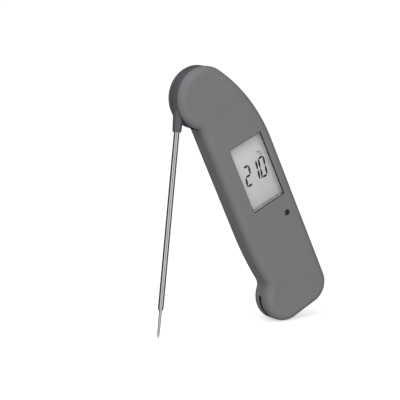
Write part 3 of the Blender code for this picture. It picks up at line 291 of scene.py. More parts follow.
# %% [markdown]
# The case is mid-grey ABS, textured in the mould so that it hides fingerprints. The turning disc
# and its boot are a harder, bluer nylon. The steel of the probe is drawn along its length, so its
# grain is stretched: a small scale along the probe makes long streaks.
# %% Case, disc and steel
make_finish("case_grey", (0.170, 0.170, 0.174), (0.188, 0.188, 0.193), 0.55, grain=2600.0,
            spread=0.12, bump=0.35, bump_size=0.03 * MM)
make_finish("hub_grey", (0.082, 0.088, 0.101), (0.100, 0.108, 0.122), 0.42, grain=2200.0,
            spread=0.10, bump=0.20, bump_size=0.02 * MM)
make_finish("drawn_steel", (0.56, 0.555, 0.54), (0.66, 0.655, 0.64), 0.17, metallic=1.0,
            grain=5200.0, spread=0.10, bump=0.12, bump_size=0.01 * MM, stretch=(1, 1, 0.02),
            turn=-PROBE_TILT)
make_finish("ground_steel", (0.60, 0.595, 0.58), (0.70, 0.695, 0.68), 0.14, metallic=1.0,
            grain=6000.0, spread=0.08, bump=0.10, bump_size=0.01 * MM, stretch=(1, 1, 6),
            turn=-PROBE_TILT)
make_finish("screw_steel", (0.42, 0.41, 0.40), (0.55, 0.54, 0.52), 0.30, metallic=1.0,
            grain=4000.0, spread=0.15, bump=0.2)
print("finishes so far:", sorted(finishes))

# %% [markdown]
# The display is a grey reflective panel under a clear window, with near-black segments. The
# window is a clear sheet that only adds a faint shine, so nearly all of it is see-through.
# %% Display finishes
make_finish("lcd_grey", (0.640, 0.640, 0.632), (0.680, 0.680, 0.672), 0.45, grain=7000.0,
            spread=0.06, bump=0.05, patch=25.0)
make_finish("segment_ink", (0.006, 0.006, 0.007), (0.012, 0.012, 0.013), 0.6, grain=3000.0)
window_shader = make_finish("window_clear", (0.10, 0.10, 0.10), (0.14, 0.14, 0.14), 0.06,
                            grain=300.0, spread=0.02)
window_shader.inputs["Alpha"].default_value = 0.04
make_finish("bezel_black", (0.008, 0.008, 0.009), (0.016, 0.016, 0.017), 0.45, grain=2400.0,
            spread=0.1, bump=0.2)
make_finish("smoked_lens", (0.010, 0.010, 0.011), (0.016, 0.015, 0.015), 0.32, grain=500.0,
            spread=0.04)
# near-white finish of the painted highlight round the display panel
make_finish("painted_glass_highlight", (0.90, 0.91, 0.90), (0.95, 0.96, 0.95), 0.2, grain=800.0)

# %% [markdown]
# The pieces inside are rarely seen, and they still get their own finishes: solder mask over glass
# cloth, moulded chips, plated contacts, silicone rubber and the steel can of the cell.
# %% Finishes of the inside
make_finish("seal_rubber", (0.014, 0.014, 0.015), (0.026, 0.026, 0.027), 0.75, grain=1500.0,
            spread=0.15, bump=0.3)
make_finish("board_green", (0.012, 0.080, 0.036), (0.022, 0.120, 0.055), 0.38, grain=2800.0,
            spread=0.1, bump=0.15)
make_finish("chip_black", (0.014, 0.014, 0.015), (0.026, 0.026, 0.028), 0.5, grain=3200.0,
            spread=0.1, bump=0.2)
make_finish("contact_brass", (0.66, 0.46, 0.17), (0.76, 0.57, 0.27), 0.28, metallic=1.0,
            grain=3000.0, spread=0.14, bump=0.1)
make_finish("contact_nickel", (0.60, 0.58, 0.54), (0.70, 0.68, 0.64), 0.26, metallic=1.0,
            grain=3000.0, spread=0.12, bump=0.1)
make_finish("tray_white", (0.56, 0.56, 0.53), (0.66, 0.66, 0.64), 0.5, grain=1400.0, bump=0.15)
make_finish("guide_white", (0.78, 0.78, 0.74), (0.86, 0.86, 0.82), 0.35, grain=1800.0, bump=0.2)
make_finish("lamp_white", (0.84, 0.80, 0.58), (0.94, 0.91, 0.74), 0.3, grain=2500.0)
make_finish("cell_can", (0.20, 0.22, 0.26), (0.28, 0.30, 0.34), 0.3, metallic=0.5, grain=900.0,
            spread=0.1, bump=0.05)
make_finish("reed_glass", (0.36, 0.44, 0.40), (0.46, 0.54, 0.50), 0.12, grain=600.0)
print(len(finishes), "finishes made")

# %% [markdown]
# ## Helpers that build pieces
#
# Each piece is a bmesh that starts from a simple shape. `carve` joins and cuts such shapes with
# exact Booleans, for openings that no single operator gives. `keep_piece` turns the result into
# its place, writes the mesh, smooths it except at real edges, hangs it on the empty of the body
# it rides on and hides the solids that it replaces.
# %% Carving
def temporary(bm, name):
    bmesh.ops.recalc_face_normals(bm, faces=bm.faces)
    mesh = bpy.data.meshes.new(name)
    bm.to_mesh(mesh)
    bm.free()
    obj = bpy.data.objects.new(name, mesh)
    bpy.context.scene.collection.objects.link(obj)
    return obj


def carve(base, *steps):
    """Base, changed by (operation, tool) steps in turn. Every bmesh given is used up."""
    work = temporary(base, "work")
    helpers = []
    for operation, tool in steps:
        helper = temporary(tool, "helper")
        helpers.append(helper)
        modifier = work.modifiers.new("step", "BOOLEAN")
        modifier.operation = operation
        modifier.solver = "EXACT"
        modifier.object = helper
    done = work.evaluated_get(bpy.context.evaluated_depsgraph_get())
    result = bmesh.new()
    result.from_mesh(done.to_mesh())
    done.to_mesh_clear()
    for obj in (work, *helpers):
        mesh = obj.data
        bpy.data.objects.remove(obj)
        bpy.data.meshes.remove(mesh)
    bmesh.ops.remove_doubles(result, verts=result.verts, dist=0.001 * MM)
    open_edges = [e for e in result.edges if e.is_boundary]
    bmesh.ops.holes_fill(result, edges=open_edges, sides=0)
    return result

# %% [markdown]
# Every finished piece is placed, written, smoothed and hung on the empty of its body in the same way.
# %% Keeping pieces
def keep_piece(name, bm, place, finish, body, replaced=(), smooth=35, recalc=False):
    if recalc:
        bmesh.ops.recalc_face_normals(bm, faces=bm.faces)
    bm.transform(place)
    mesh = bpy.data.meshes.new(name)
    bm.to_mesh(mesh)
    bm.free()
    for polygon in mesh.polygons:
        polygon.use_smooth = True
    mesh.set_sharp_from_angle(angle=radians(smooth))
    mesh.materials.append(finishes[finish])
    obj = bpy.data.objects.new(name, mesh)
    bpy.context.scene.collection.objects.link(obj)
    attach(obj, body)
    if replaced:
        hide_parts(*replaced)
    print(name, len(mesh.polygons), "faces")
    return obj


print("pieces can be carved and kept")


# %% [markdown]
# The starting shapes are a rod, which may taper, and a block, whose edges may be rounded.
# %% Rods and blocks
def rod(radius, start, end, end_radius=None, segments=64):
    start, end = Vector(start), Vector(end)
    bm = bmesh.new()
    bmesh.ops.create_cone(
        bm, cap_ends=True, segments=segments, radius1=radius,
        radius2=radius if end_radius is None else end_radius, depth=(end - start).length,
        matrix=Matrix.Translation((start + end) / 2)
        @ (end - start).to_track_quat("Z", "Y").to_matrix().to_4x4())
    return bm


def block(x0, x1, y0, y1, z0, z1):
    bm = bmesh.new()
    middle = Vector(((x0 + x1) / 2, (y0 + y1) / 2, (z0 + z1) / 2))
    size = Matrix.Diagonal((x1 - x0, y1 - y0, z1 - z0, 1))
    bmesh.ops.create_cube(bm, size=1, matrix=Matrix.Translation(middle) @ size)
    return bm


def soften(bm, edges, width, segments=3):
    """Rounds the given edges."""
    bmesh.ops.bevel(bm, geom=list(edges), offset=width, segments=segments, affect="EDGES",
                    profile=0.5, material=-1, clamp_overlap=True)
    return bm


def edges_along(bm, axis):
    """The straight edges that run along one axis."""
    return [e for e in bm.edges
            if abs((e.verts[1].co - e.verts[0].co).normalized()[axis]) > 0.999]


def rounded_block(rectangle, radius, y0, y1, segments=8):
    """A block over x0, x1, z0, z1 whose four corners, seen from the front, are rounded."""
    x0, x1, z0, z1 = rectangle
    bm = block(x0, x1, y0, y1, z0, z1)
    return soften(bm, edges_along(bm, 1), radius, segments)

# %% [markdown]
# Turned parts are a profile spun round an axis.
# %% Turned shapes
def spun(points, place=Matrix(), segments=64):
    """Turns a closed or axis-to-axis profile of (radius, height) points round the Z axis."""
    bm = bmesh.new()
    verts = [bm.verts.new((radius, 0, height)) for radius, height in points]
    edges = [bm.edges.new(pair) for pair in zip(verts, verts[1:])]
    if points[0][0] > 0:
        edges.append(bm.edges.new((verts[-1], verts[0])))
    bmesh.ops.spin(bm, geom=verts + edges, cent=(0, 0, 0), axis=(0, 0, 1), angle=tau,
                   steps=segments, use_merge=True)
    bmesh.ops.remove_doubles(bm, verts=bm.verts, dist=0.0005 * MM)
    bmesh.ops.recalc_face_normals(bm, faces=bm.faces)
    bm.transform(place)
    return bm


def grown(rectangle, margin):
    x0, x1, z0, z1 = rectangle
    return x0 - margin, x1 + margin, z0 - margin, z1 + margin


ALONG_Y = Matrix.Rotation(-pi / 2, 4, "X")
print("rods, blocks and turned shapes are ready")

# %% [markdown]
# ## The outline of the body
#
# Seen from the front, the body is a chain of arcs: the round head, a tight neck under it on the
# left, a long straight side that bows out, a small waist, the round heel that it stands on, a soft
# bottom corner and a long bowed right side. A spin of a single vertex round each arc's centre
# draws these arcs exactly; short edges join them and one face fills the loop.
# %% Arcs of the outline
HEAD_RADIUS = 16.8 * MM
RIGHT_EDGE_X, RIGHT_BOW_RADIUS = 28.3 * MM, 87.5 * MM
CORNER_RADIUS, BOTTOM_SLOPE = 12.0 * MM, radians(1.5)
HEEL_X, HEEL_DROP, HEEL_RADIUS = 0.65 * MM, 122.9 * MM, 13.75 * MM
LEFT_EDGE_X, LEFT_BOW_RADIUS, LEFT_BOW_DROP = -10.05 * MM, 186.0 * MM, 79.4 * MM
WAIST_RADIUS, NECK_RADIUS = 5.3 * MM, 2.0 * MM
HEEL_THICK_SHARE = 0.66


def body_arcs():
    """The arcs, anticlockwise from the right of the head: centre x, centre z, radius, start
    angle, end angle, +1 where it bulges or -1, steps, whether it takes the heel's inset."""
    bow_x = RIGHT_EDGE_X - RIGHT_BOW_RADIUS
    bow_z = -sqrt((RIGHT_BOW_RADIUS - HEAD_RADIUS) ** 2 - bow_x ** 2)
    head_start = atan2(-bow_z, -bow_x)
    neck_x = LEFT_EDGE_X - NECK_RADIUS
    neck_z = -sqrt((HEAD_RADIUS + NECK_RADIUS) ** 2 - neck_x ** 2)
    head_end = atan2(neck_z, neck_x) + tau
    left_x, left_z = LEFT_EDGE_X + LEFT_BOW_RADIUS, -LEFT_BOW_DROP
    heel_z = -HEEL_DROP
    to_heel = hypot(HEEL_X - left_x, heel_z - left_z)
    reach_left, reach_heel = LEFT_BOW_RADIUS + WAIST_RADIUS, HEEL_RADIUS + WAIST_RADIUS
    along = (reach_left ** 2 - reach_heel ** 2 + to_heel ** 2) / (2 * to_heel)
    aside = sqrt(reach_left ** 2 - along ** 2)
    way_x, way_z = (HEEL_X - left_x) / to_heel, (heel_z - left_z) / to_heel
    waist_x = left_x + way_x * along + way_z * aside
    waist_z = left_z + way_z * along - way_x * aside
    left_end = atan2(waist_z - left_z, waist_x - left_x) + tau
    heel_start = atan2(waist_z - heel_z, waist_x - HEEL_X)
    heel_end = BOTTOM_SLOPE + 1.5 * pi
    heel_turn = heel_start + (heel_end - heel_start) * HEEL_THICK_SHARE
    corner_x = RIGHT_EDGE_X - CORNER_RADIUS
    fall = (HEEL_X - corner_x) * sin(BOTTOM_SLOPE) + HEEL_RADIUS - CORNER_RADIUS
    corner_z = heel_z - fall / cos(BOTTOM_SLOPE)
    return (
        (0.0, 0.0, HEAD_RADIUS, head_start, head_end, 1, 84, False),
        (neck_x, neck_z, NECK_RADIUS, head_end - pi, 0.0, -1, 10, False),
        (left_x, left_z, LEFT_BOW_RADIUS, pi, left_end, 1, 14, False),
        (waist_x, waist_z, WAIST_RADIUS, left_end - pi, heel_start - pi, -1, 10, False),
        (HEEL_X, heel_z, HEEL_RADIUS, heel_start, heel_turn, 1, 34, True),
        (HEEL_X, heel_z, HEEL_RADIUS, heel_turn, heel_end, 1, 18, False),
        (corner_x, corner_z, CORNER_RADIUS, heel_end, tau, 1, 26, False),
        (bow_x, bow_z, RIGHT_BOW_RADIUS, 0.0, head_start, 1, 26, False),
    )

# %% [markdown]
# The outline is drawn at any depth, and moved inwards where a room inside the case needs it.
# %% The outline as a face
def outline_face(y, inset=0.0, heel_extra=0.0):
    """A new bmesh with one face: the outline at depth y, moved inwards by inset."""
    bm = bmesh.new()
    chains = []
    for x, z, radius, start, end, bulge, steps, at_heel in body_arcs():
        own = radius - bulge * (inset + (heel_extra if at_heel else 0.0))
        first = bm.verts.new((x + own * cos(start), y, z + own * sin(start)))
        bmesh.ops.spin(bm, geom=[first], cent=(x, y, z), axis=(0, -1, 0), angle=end - start,
                       steps=steps)
        bm.verts.ensure_lookup_table()
        chains.append((first, bm.verts[-1]))
    for (_, last), (following, _) in zip(chains, chains[1:] + chains[:1]):
        if (last.co - following.co).length > 0.001 * MM:
            bm.edges.new((last, following))
    bmesh.ops.remove_doubles(bm, verts=bm.verts, dist=0.001 * MM)
    bmesh.ops.contextual_create(bm, geom=bm.edges[:])
    return bm


print("outline of", len(body_arcs()), "arcs,", len(outline_face(0.0).verts), "points")

# %% [markdown]
# ## Rounding the shell, step by step
#
# A shell half starts as that face, pulled out to a slab. Its rounded rim is a row of inset steps:
# each one moves the cap a little inwards and a little outwards along its own normal, which
# traces the quarter circle of the front edge, or the slow dome of the back. Insets keep the wall
# even round the tight neck, where a bevel of this size would fold over itself. One last narrow
# ring keeps the flat face flat when the surface is smoothed.
# %% Slabs with shaped rims
FRONT_DEPTH, REAR_DEPTH = 7.25 * MM, 11.5 * MM
EDGE_RADIUS, SEAM_HALF_GAP, SEAM_CHAMFER = 4.0 * MM, 0.15 * MM, 0.15 * MM
REAR_SHOULDER_Y, REAR_FLAT_INSET = 3.25 * MM, 9.0 * MM


def cap_face(bm, side):
    """The large flat face that looks along -Y (side -1) or +Y (side 1)."""
    bm.normal_update()
    faces = [f for f in bm.faces if f.normal.y * side > 0.99]
    return max(faces, key=lambda f: f.calc_area())


def slab(side, profile, inset=0.0, heel_extra=0.0):
    """The outline drawn out from the seam, with a small chamfer there, and its outer cap led
    along the profile's (inset, depth) points. Side is -1 for the front, 1 for the back."""
    seam = -2 * MM if inset else SEAM_HALF_GAP + SEAM_CHAMFER
    bm = outline_face(side * seam, inset, heel_extra)
    pulled = bmesh.ops.extrude_face_region(bm, geom=bm.faces[:])
    moved = [v for v in pulled["geom"] if isinstance(v, bmesh.types.BMVert)]
    bmesh.ops.translate(bm, verts=moved, vec=(0, side * (profile[0][1] - seam), 0))
    bmesh.ops.recalc_face_normals(bm, faces=bm.faces)
    for (inset_0, depth_0), (inset_1, depth_1) in zip(profile, profile[1:]):
        bmesh.ops.inset_region(bm, faces=[cap_face(bm, side)], thickness=inset_1 - inset_0,
                               depth=depth_1 - depth_0, use_boundary=True, use_even_offset=True)
    if not inset:
        bmesh.ops.inset_region(bm, faces=[cap_face(bm, side)], thickness=0.3 * MM, depth=0,
                               use_boundary=True, use_even_offset=True)
        bmesh.ops.inset_region(bm, faces=[cap_face(bm, -side)], thickness=SEAM_CHAMFER,
                               depth=SEAM_CHAMFER, use_boundary=True, use_even_offset=True)
    return bm

# %% [markdown]
# The front edge is a quarter circle. The back has a short shoulder and then a slow dome.
# %% Profiles of the rims
def front_profile(steps=9):
    points = []
    for step in range(steps + 1):
        angle = pi / 2 * step / steps
        points.append((EDGE_RADIUS * (1 - cos(angle)),
                       FRONT_DEPTH - EDGE_RADIUS + EDGE_RADIUS * sin(angle)))
    return points


def rear_profile(shoulder_steps=6, dome_steps=12):
    points = []
    for step in range(shoulder_steps + 1):
        angle = pi / 4 * step / shoulder_steps
        points.append((EDGE_RADIUS * (1 - cos(angle)), REAR_SHOULDER_Y + EDGE_RADIUS * sin(angle)))
    start_inset, start_y = points[-1]
    knee = start_inset + REAR_DEPTH - start_y
    for step in range(1, dome_steps + 1):
        t = step / dome_steps
        points.append((
            (1 - t) ** 2 * start_inset + 2 * t * (1 - t) * knee + t * t * REAR_FLAT_INSET,
            (1 - t) ** 2 * start_y + (1 - (1 - t) ** 2) * REAR_DEPTH))
    return points


# %% [markdown]
# ## Tools that cut the shells
#
# The disc turns in a round well that both shells share, the boot parks in a groove down the left
# wall, and the needle folds into a slot along the heel. The slot is a small rectangle spun round
# the centre of the heel.
# %% Shared cutting tools
HUB_RADIUS, WELL_RADIUS, WELL_HALF_DEPTH = 16.3 * MM, 17.0 * MM, 4.1 * MM
OPENING_END_Z, SIDE_WALL, WELL_WALL = 4.0 * MM, 2.0 * MM, 1.8 * MM
PROBE_X, BOOT_REACH = -12.5 * MM, 18.7 * MM
BOOT_ROOT_RADIUS, BOOT_END_RADIUS, PART_GAP = 3.35 * MM, 2.35 * MM, 0.3 * MM
SLOT_HALF_WIDTH, SLOT_DEPTH, SLOT_START, SLOT_END = 0.85 * MM, 3.0 * MM, 0.28, 0.40
# thickness of the black lining of the needle's slot, which is painted shade
LINING = 0.25 * MM
FAR = 60 * MM


def well_tools(y0, y1):
    return [
        ("DIFFERENCE", rod(WELL_RADIUS, (0, y0, 0), (0, y1, 0), segments=160)),
        ("DIFFERENCE", rod(BOOT_ROOT_RADIUS + PART_GAP, (PROBE_X, 0, 0),
                           (PROBE_X, 0, -BOOT_REACH - PART_GAP), BOOT_END_RADIUS + PART_GAP)),
        ("DIFFERENCE", block(0, FAR, y0, y1, OPENING_END_Z, FAR)),
    ]

# %% [markdown]
# The slot is cut with room for its black lining, which is painted shade, and a room is a slab less
# the walls that stay.
# %% Slot and inner room
def slot_arc(inner, outer, half_width, trim=0.0):
    """A block bent round the heel's centre, from inner to outer radius, short by trim."""
    x, z, radius, start = body_arcs()[4][:4]
    end = body_arcs()[5][4]
    first = start + SLOT_START + trim
    bm = bmesh.new()
    bmesh.ops.create_grid(bm, x_segments=1, y_segments=1, size=1, matrix=(
        Matrix.Translation((x, 0, z)) @ Matrix.Rotation(-first, 4, "Y")
        @ Matrix.Translation(((inner + outer) / 2, 0, 0))
        @ Matrix.Diagonal(((outer - inner) / 2, half_width, 1, 1))))
    bmesh.ops.spin(bm, geom=bm.verts[:] + bm.edges[:] + bm.faces[:], cent=(x, 0, z),
                   axis=(0, -1, 0), angle=end - SLOT_END - trim - first, steps=24)
    return bm


def needle_slot():
    return slot_arc(HEEL_RADIUS - SLOT_DEPTH - LINING, HEEL_RADIUS + SLOT_DEPTH,
                    SLOT_HALF_WIDTH + LINING)


def inner_room(side, depth, inset, heel_extra):
    """The hollow of a shell half, less the walls round the well and the boot's groove."""
    room = slab(side, ((0, depth),), inset=inset, heel_extra=heel_extra)
    reach = PROBE_X + BOOT_ROOT_RADIUS + PART_GAP + WELL_WALL
    return carve(
        room,
        ("DIFFERENCE", rod(WELL_RADIUS + WELL_WALL, (0, -FAR, 0), (0, FAR, 0), segments=120)),
        ("DIFFERENCE", block(-FAR, reach, -FAR, FAR, -BOOT_REACH, FAR)))


# %% [markdown]
# ## The front shell
#
# Its face carries the display opening and the hole for the light sensor.
# %% Sizes of the front
DISPLAY_X, DISPLAY_Z, DISPLAY_W, DISPLAY_H = 11.15 * MM, -50.45 * MM, 21.9 * MM, 38.3 * MM
DISPLAY_CORNER, LIP_DEPTH, BEZEL_ROOM = 0.5 * MM, 0.4 * MM, 0.75 * MM
SENSOR_X, SENSOR_Z, SENSOR_RADIUS = 19.4 * MM, -80.0 * MM, 1.4 * MM
SENSOR_GAP, SENSOR_FLARE = 0.2 * MM, 1.4 * MM
FACE_WALL, HEEL_WALL_EXTRA, BOSS_ROOT = 2.2 * MM, 3.0 * MM, 0.5 * MM
FRONT_BOSS_RADIUS, PILOT_RADIUS, PILOT_END_Y = 2.8 * MM, 1.25 * MM, -4.35 * MM
SPINDLE_BORE_RADIUS, SPINDLE_SOCKET = 4.3 * MM, 1.5 * MM
SCREWS = ((-3.2 * MM, -25.6 * MM), (18.0 * MM, -19.5 * MM),
          (HEEL_X - 3.85 * MM, -HEEL_DROP + 1.0 * MM), (HEEL_X + 19.95 * MM, -HEEL_DROP - 3.0 * MM))
display = (DISPLAY_X - DISPLAY_W / 2, DISPLAY_X + DISPLAY_W / 2,
           DISPLAY_Z - DISPLAY_H / 2, DISPLAY_Z + DISPLAY_H / 2)


print("display opening", [round(v * 1000, 2) for v in display])

# %% [markdown]
# The tool for the display opening starts as its throat. Insets of its two ends widen it to the
# chamfer and the room outside, and to the seat of the bezel and the room behind it.
# %% Tools for openings
def tapered_mouth(rectangle, radius, surface_y, side, chamfer):
    """A tool that chamfers the edge of an opening in a surface that faces side."""
    outer_y = surface_y + side * 2 * MM
    bm = rounded_block(grown(rectangle, chamfer), radius + chamfer,
                       min(surface_y, outer_y), max(surface_y, outer_y))
    bmesh.ops.recalc_face_normals(bm, faces=bm.faces)
    bmesh.ops.inset_region(bm, faces=[cap_face(bm, -side)], thickness=chamfer, depth=chamfer,
                           use_boundary=True, use_even_offset=True)
    return bm


MOUTH_CHAMFER = 0.2 * MM
opening = rounded_block(display, DISPLAY_CORNER, -FRONT_DEPTH + MOUTH_CHAMFER,
                        -FRONT_DEPTH + LIP_DEPTH)
bmesh.ops.recalc_face_normals(opening, faces=opening.faces)
for side, wider, further in ((-1, MOUTH_CHAMFER, MOUTH_CHAMFER), (-1, 0, 2 * MM),
                             (1, BEZEL_ROOM, 0), (1, 0, FRONT_DEPTH)):
    bmesh.ops.inset_region(opening, faces=[cap_face(opening, side)], thickness=-wider,
                           depth=further, use_boundary=True, use_even_offset=True)
print("opening tool has", len(opening.faces), "faces")

# %% [markdown]
# The front shell is then the shaped slab, cut and joined in order: room, opening, sensor hole,
# screw bosses with their pilot holes, the well of the disc, the spindle's socket and the slot.
# %% Front shell
front_steps = [
    ("DIFFERENCE", inner_room(-1, FRONT_DEPTH - FACE_WALL, SIDE_WALL, HEEL_WALL_EXTRA)),
    ("DIFFERENCE", opening),
    ("DIFFERENCE", rod(SENSOR_RADIUS + SENSOR_GAP, (SENSOR_X, -2 * FRONT_DEPTH, SENSOR_Z),
                       (SENSOR_X, 0, SENSOR_Z))),
    ("DIFFERENCE", rod(SENSOR_RADIUS + SENSOR_FLARE, (SENSOR_X, -FRONT_DEPTH - MM, SENSOR_Z),
                       (SENSOR_X, -FRONT_DEPTH + SENSOR_GAP, SENSOR_Z),
                       SENSOR_RADIUS + SENSOR_GAP)),
]
for x, z in SCREWS:
    front_steps.append(("UNION", rod(
        FRONT_BOSS_RADIUS, (x, -FRONT_DEPTH + FACE_WALL - BOSS_ROOT, z), (x, -SEAM_HALF_GAP, z))))
for x, z in SCREWS:
    front_steps.append(("DIFFERENCE", rod(PILOT_RADIUS, (x, PILOT_END_Y, z), (x, MM, z))))
front_steps += well_tools(-WELL_HALF_DEPTH, REAR_DEPTH)
front_steps.append(("DIFFERENCE", rod(
    SPINDLE_BORE_RADIUS, (0, -WELL_HALF_DEPTH - SPINDLE_SOCKET, 0), (0, 0, 0))))
front_steps.append(("DIFFERENCE", needle_slot()))
front_shell = carve(slab(-1, front_profile()), *front_steps)
keep_piece("front_shell", front_shell, body_place, "case_grey", "body", ("front_case",))

# %% [markdown]
# ## The rear shell
#
# The back swells into a low dome with a flat crown. The battery cover lies in a shallow seat on
# the crown, and four deep round pockets lead down to the case screws. The cover, its seal and its
# screw give the sizes of the seat, the way in and the screw hole.
# %% Sizes of the back
OUTSIDE_Y, SKIN = 20 * MM, 0.4 * MM
REAR_BOSS_RADIUS, CASE_SCREW_HOLE, CASE_SCREW_POCKET = 3.4 * MM, 1.3 * MM, 2.4 * MM
COVER_BOSS_RADIUS, COVER_BOSS_DEPTH, COVER_BOSS_SINK = 2.6 * MM, 5 * MM, 1.5 * MM
COVER_PILOT_RADIUS, COVER_PILOT_DEPTH, SEAT_CHAMFER = 1.05 * MM, 4 * MM, 0.2 * MM
LID_RADIUS, LID_ROOM = 12.5 * MM, 3.2 * MM
# depth, inset and extra heel wall of each of the two steps of the room inside
REAR_ROOMS = ((5.0 * MM, SIDE_WALL, HEEL_WALL_EXTRA), (9.0 * MM, 6.5 * MM, 0.0))
COVER_THICKNESS, COVER_CORNER, COVER_LEDGE = 1.6 * MM, 3.0 * MM, 1.5 * MM
COVER_RIM_DEPTH, SCREW_SEAT_Y = 1.6 * MM, 3.0 * MM


def body_box(node):
    """A solid's lowest and highest corners in the body's own axes."""
    back = body_place.inverted()
    points = [back @ v.co for v in frame["nodes"][node].data.vertices]
    return (Vector([min(p[i] for p in points) for i in range(3)]),
            Vector([max(p[i] for p in points) for i in range(3)]))


cover_low, cover_high = body_box("battery_cover")
cover = (cover_low.x, cover_high.x, cover_low.z, cover_high.z)
seal_low, seal_high = body_box("battery_cover_seal")
hatch = grown((seal_low.x, seal_high.x, seal_low.z, seal_high.z), PART_GAP)
cover_screw_low, cover_screw_high = body_box("battery_cover_screw")
cover_screw_x = (cover_screw_low.x + cover_screw_high.x) / 2
cover_screw_z = (cover_screw_low.z + cover_screw_high.z) / 2
cover_seat_y = REAR_DEPTH - COVER_THICKNESS
print("battery cover", [round(v * 1000, 1) for v in cover])

# %% [markdown]
# The room inside narrows towards the dome. Each screw boss is trimmed by a copy of the back made a
# little smaller, so that it ends just under the outer surface.
# %% Room and bosses of the back
under_skin = slab(1, [(inset, y - SKIN) for inset, y in rear_profile()], inset=SKIN)
rear_steps = [("DIFFERENCE", inner_room(1, *sizes)) for sizes in REAR_ROOMS]
for x, z in SCREWS:
    boss = carve(rod(REAR_BOSS_RADIUS, (x, SEAM_HALF_GAP, z), (x, REAR_DEPTH, z)),
                 ("INTERSECT", under_skin.copy()))
    rear_steps.append(("UNION", boss))
under_skin.free()
rear_steps.append(("UNION", rounded_block(
    grown(cover, SIDE_WALL), COVER_CORNER + SIDE_WALL,
    cover_seat_y - PART_GAP - COVER_RIM_DEPTH, REAR_DEPTH - BOSS_ROOT)))
rear_steps.append(("UNION", rod(
    COVER_BOSS_RADIUS, (cover_screw_x, cover_seat_y - COVER_BOSS_DEPTH, cover_screw_z),
    (cover_screw_x, REAR_DEPTH - COVER_BOSS_SINK, cover_screw_z))))
print(len(rear_steps), "steps so far")

# %% [markdown]
# The holes come last, so that no boss fills them again.
# %% Holes of the back, and the rear shell
for x, z in SCREWS:
    rear_steps.append(("DIFFERENCE", rod(CASE_SCREW_HOLE, (x, -MM, z), (x, REAR_DEPTH, z))))
    rear_steps.append(("DIFFERENCE", rod(
        CASE_SCREW_POCKET, (x, SCREW_SEAT_Y, z), (x, OUTSIDE_Y, z))))
rear_steps.append(("DIFFERENCE", rounded_block(
    grown(cover, PART_GAP), COVER_CORNER + PART_GAP, cover_seat_y - PART_GAP, OUTSIDE_Y)))
rear_steps.append(("DIFFERENCE", tapered_mouth(
    grown(cover, PART_GAP), COVER_CORNER + PART_GAP, REAR_DEPTH, 1, SEAT_CHAMFER)))
rear_steps.append(("DIFFERENCE", rounded_block(hatch, COVER_CORNER - COVER_LEDGE, 0, OUTSIDE_Y)))
rear_steps.append(("DIFFERENCE", rod(
    COVER_PILOT_RADIUS, (cover_screw_x, cover_seat_y - COVER_PILOT_DEPTH, cover_screw_z),
    (cover_screw_x, OUTSIDE_Y, cover_screw_z))))
rear_steps.append(("DIFFERENCE", rod(LID_RADIUS, (0, 0, 0), (0, WELL_HALF_DEPTH + LID_ROOM, 0))))
rear_steps += well_tools(-REAR_DEPTH, WELL_HALF_DEPTH)
rear_steps.append(("DIFFERENCE", needle_slot()))
rear_shell = carve(slab(1, rear_profile()), *rear_steps)
keep_piece("rear_shell", rear_shell, body_place, "case_grey", "body", ("rear_case",))

# %% [markdown]
# The needle's slot is lined with a thin black channel. This is painted shade: a dark sheet that
# stands in for the shade deep inside the narrow slot, so that the slot reads as a dark line along the
# heel.
# %% Slot lining of painted shade
# painted shade: a black channel that darkens the inside of the slot
lining = carve(
    slot_arc(HEEL_RADIUS - SLOT_DEPTH - LINING + 0.02 * MM, HEEL_RADIUS - 0.2 * MM,
             SLOT_HALF_WIDTH + LINING - 0.02 * MM, 0.002),
    ("DIFFERENCE", slot_arc(HEEL_RADIUS - SLOT_DEPTH, HEEL_RADIUS + SLOT_DEPTH, SLOT_HALF_WIDTH,
                            0.02)))
keep_piece("slot_painted_shade", lining, body_place, "seal_rubber", "body", ())

# %% [markdown]
# ## The turning disc and its boot
#
# The disc fills the gap between the shells and its rim shows all round the head. The boot is a
# tapered sleeve that grows out of its edge and grips the steel tube. Both are one moulding, so
# the two shapes are joined, and then hollowed from the back for the contacts inside.
# %% Disc with boot
HALF_HUB, HUB_EDGE, EDGE_CUT = 3.8 * MM, 0.6 * MM, 0.18 * MM
HUB_BORE, REAR_RECESS_RADIUS, REAR_RECESS_Y = 4.3 * MM, 9.3 * MM, -3.2 * MM
BOOT_END_ROUND = 0.45 * MM
POCKET_OUTER, POCKET_INNER, POCKET_FLOOR = 12.0 * MM, 6.4 * MM, -2.2 * MM
LID_OUTER, LID_INNER, LID_SEAT = 12.7 * MM, 3.3 * MM, 2.5 * MM
SEAL_OUTER, SEAL_INNER, SEAL_NEAR = 14.75 * MM, 13.25 * MM, 2.9 * MM
rim = spun(((HUB_BORE, HALF_HUB), (HUB_RADIUS - HUB_EDGE, HALF_HUB),
            (HUB_RADIUS - EDGE_CUT, HALF_HUB - EDGE_CUT), (HUB_RADIUS, HALF_HUB - HUB_EDGE),
            (HUB_RADIUS, HUB_EDGE - HALF_HUB), (HUB_RADIUS - EDGE_CUT, EDGE_CUT - HALF_HUB),
            (HUB_RADIUS - HUB_EDGE, -HALF_HUB), (REAR_RECESS_RADIUS, -HALF_HUB),
            (REAR_RECESS_RADIUS, REAR_RECESS_Y), (HUB_BORE, REAR_RECESS_Y)), ALONG_Y, 160)
boot = rod(BOOT_ROOT_RADIUS, (PROBE_X, 0, 0), (PROBE_X, 0, -BOOT_REACH), BOOT_END_RADIUS, 96)
lowest = min(v.co.z for v in boot.verts)
end_edges = [e for e in boot.edges if all(v.co.z < lowest + 0.01 * MM for v in e.verts)]
soften(boot, end_edges, BOOT_END_ROUND, 4)
pocket = spun(((LID_OUTER, HALF_HUB + MM), (LID_OUTER, LID_SEAT), (POCKET_OUTER, LID_SEAT),
               (POCKET_OUTER, POCKET_FLOOR), (POCKET_INNER, POCKET_FLOOR),
               (POCKET_INNER, LID_SEAT), (LID_INNER, LID_SEAT), (LID_INNER, HALF_HUB + MM)),
              ALONG_Y, 96)
print("rim", len(rim.faces), "faces, boot", len(boot.faces), "faces")


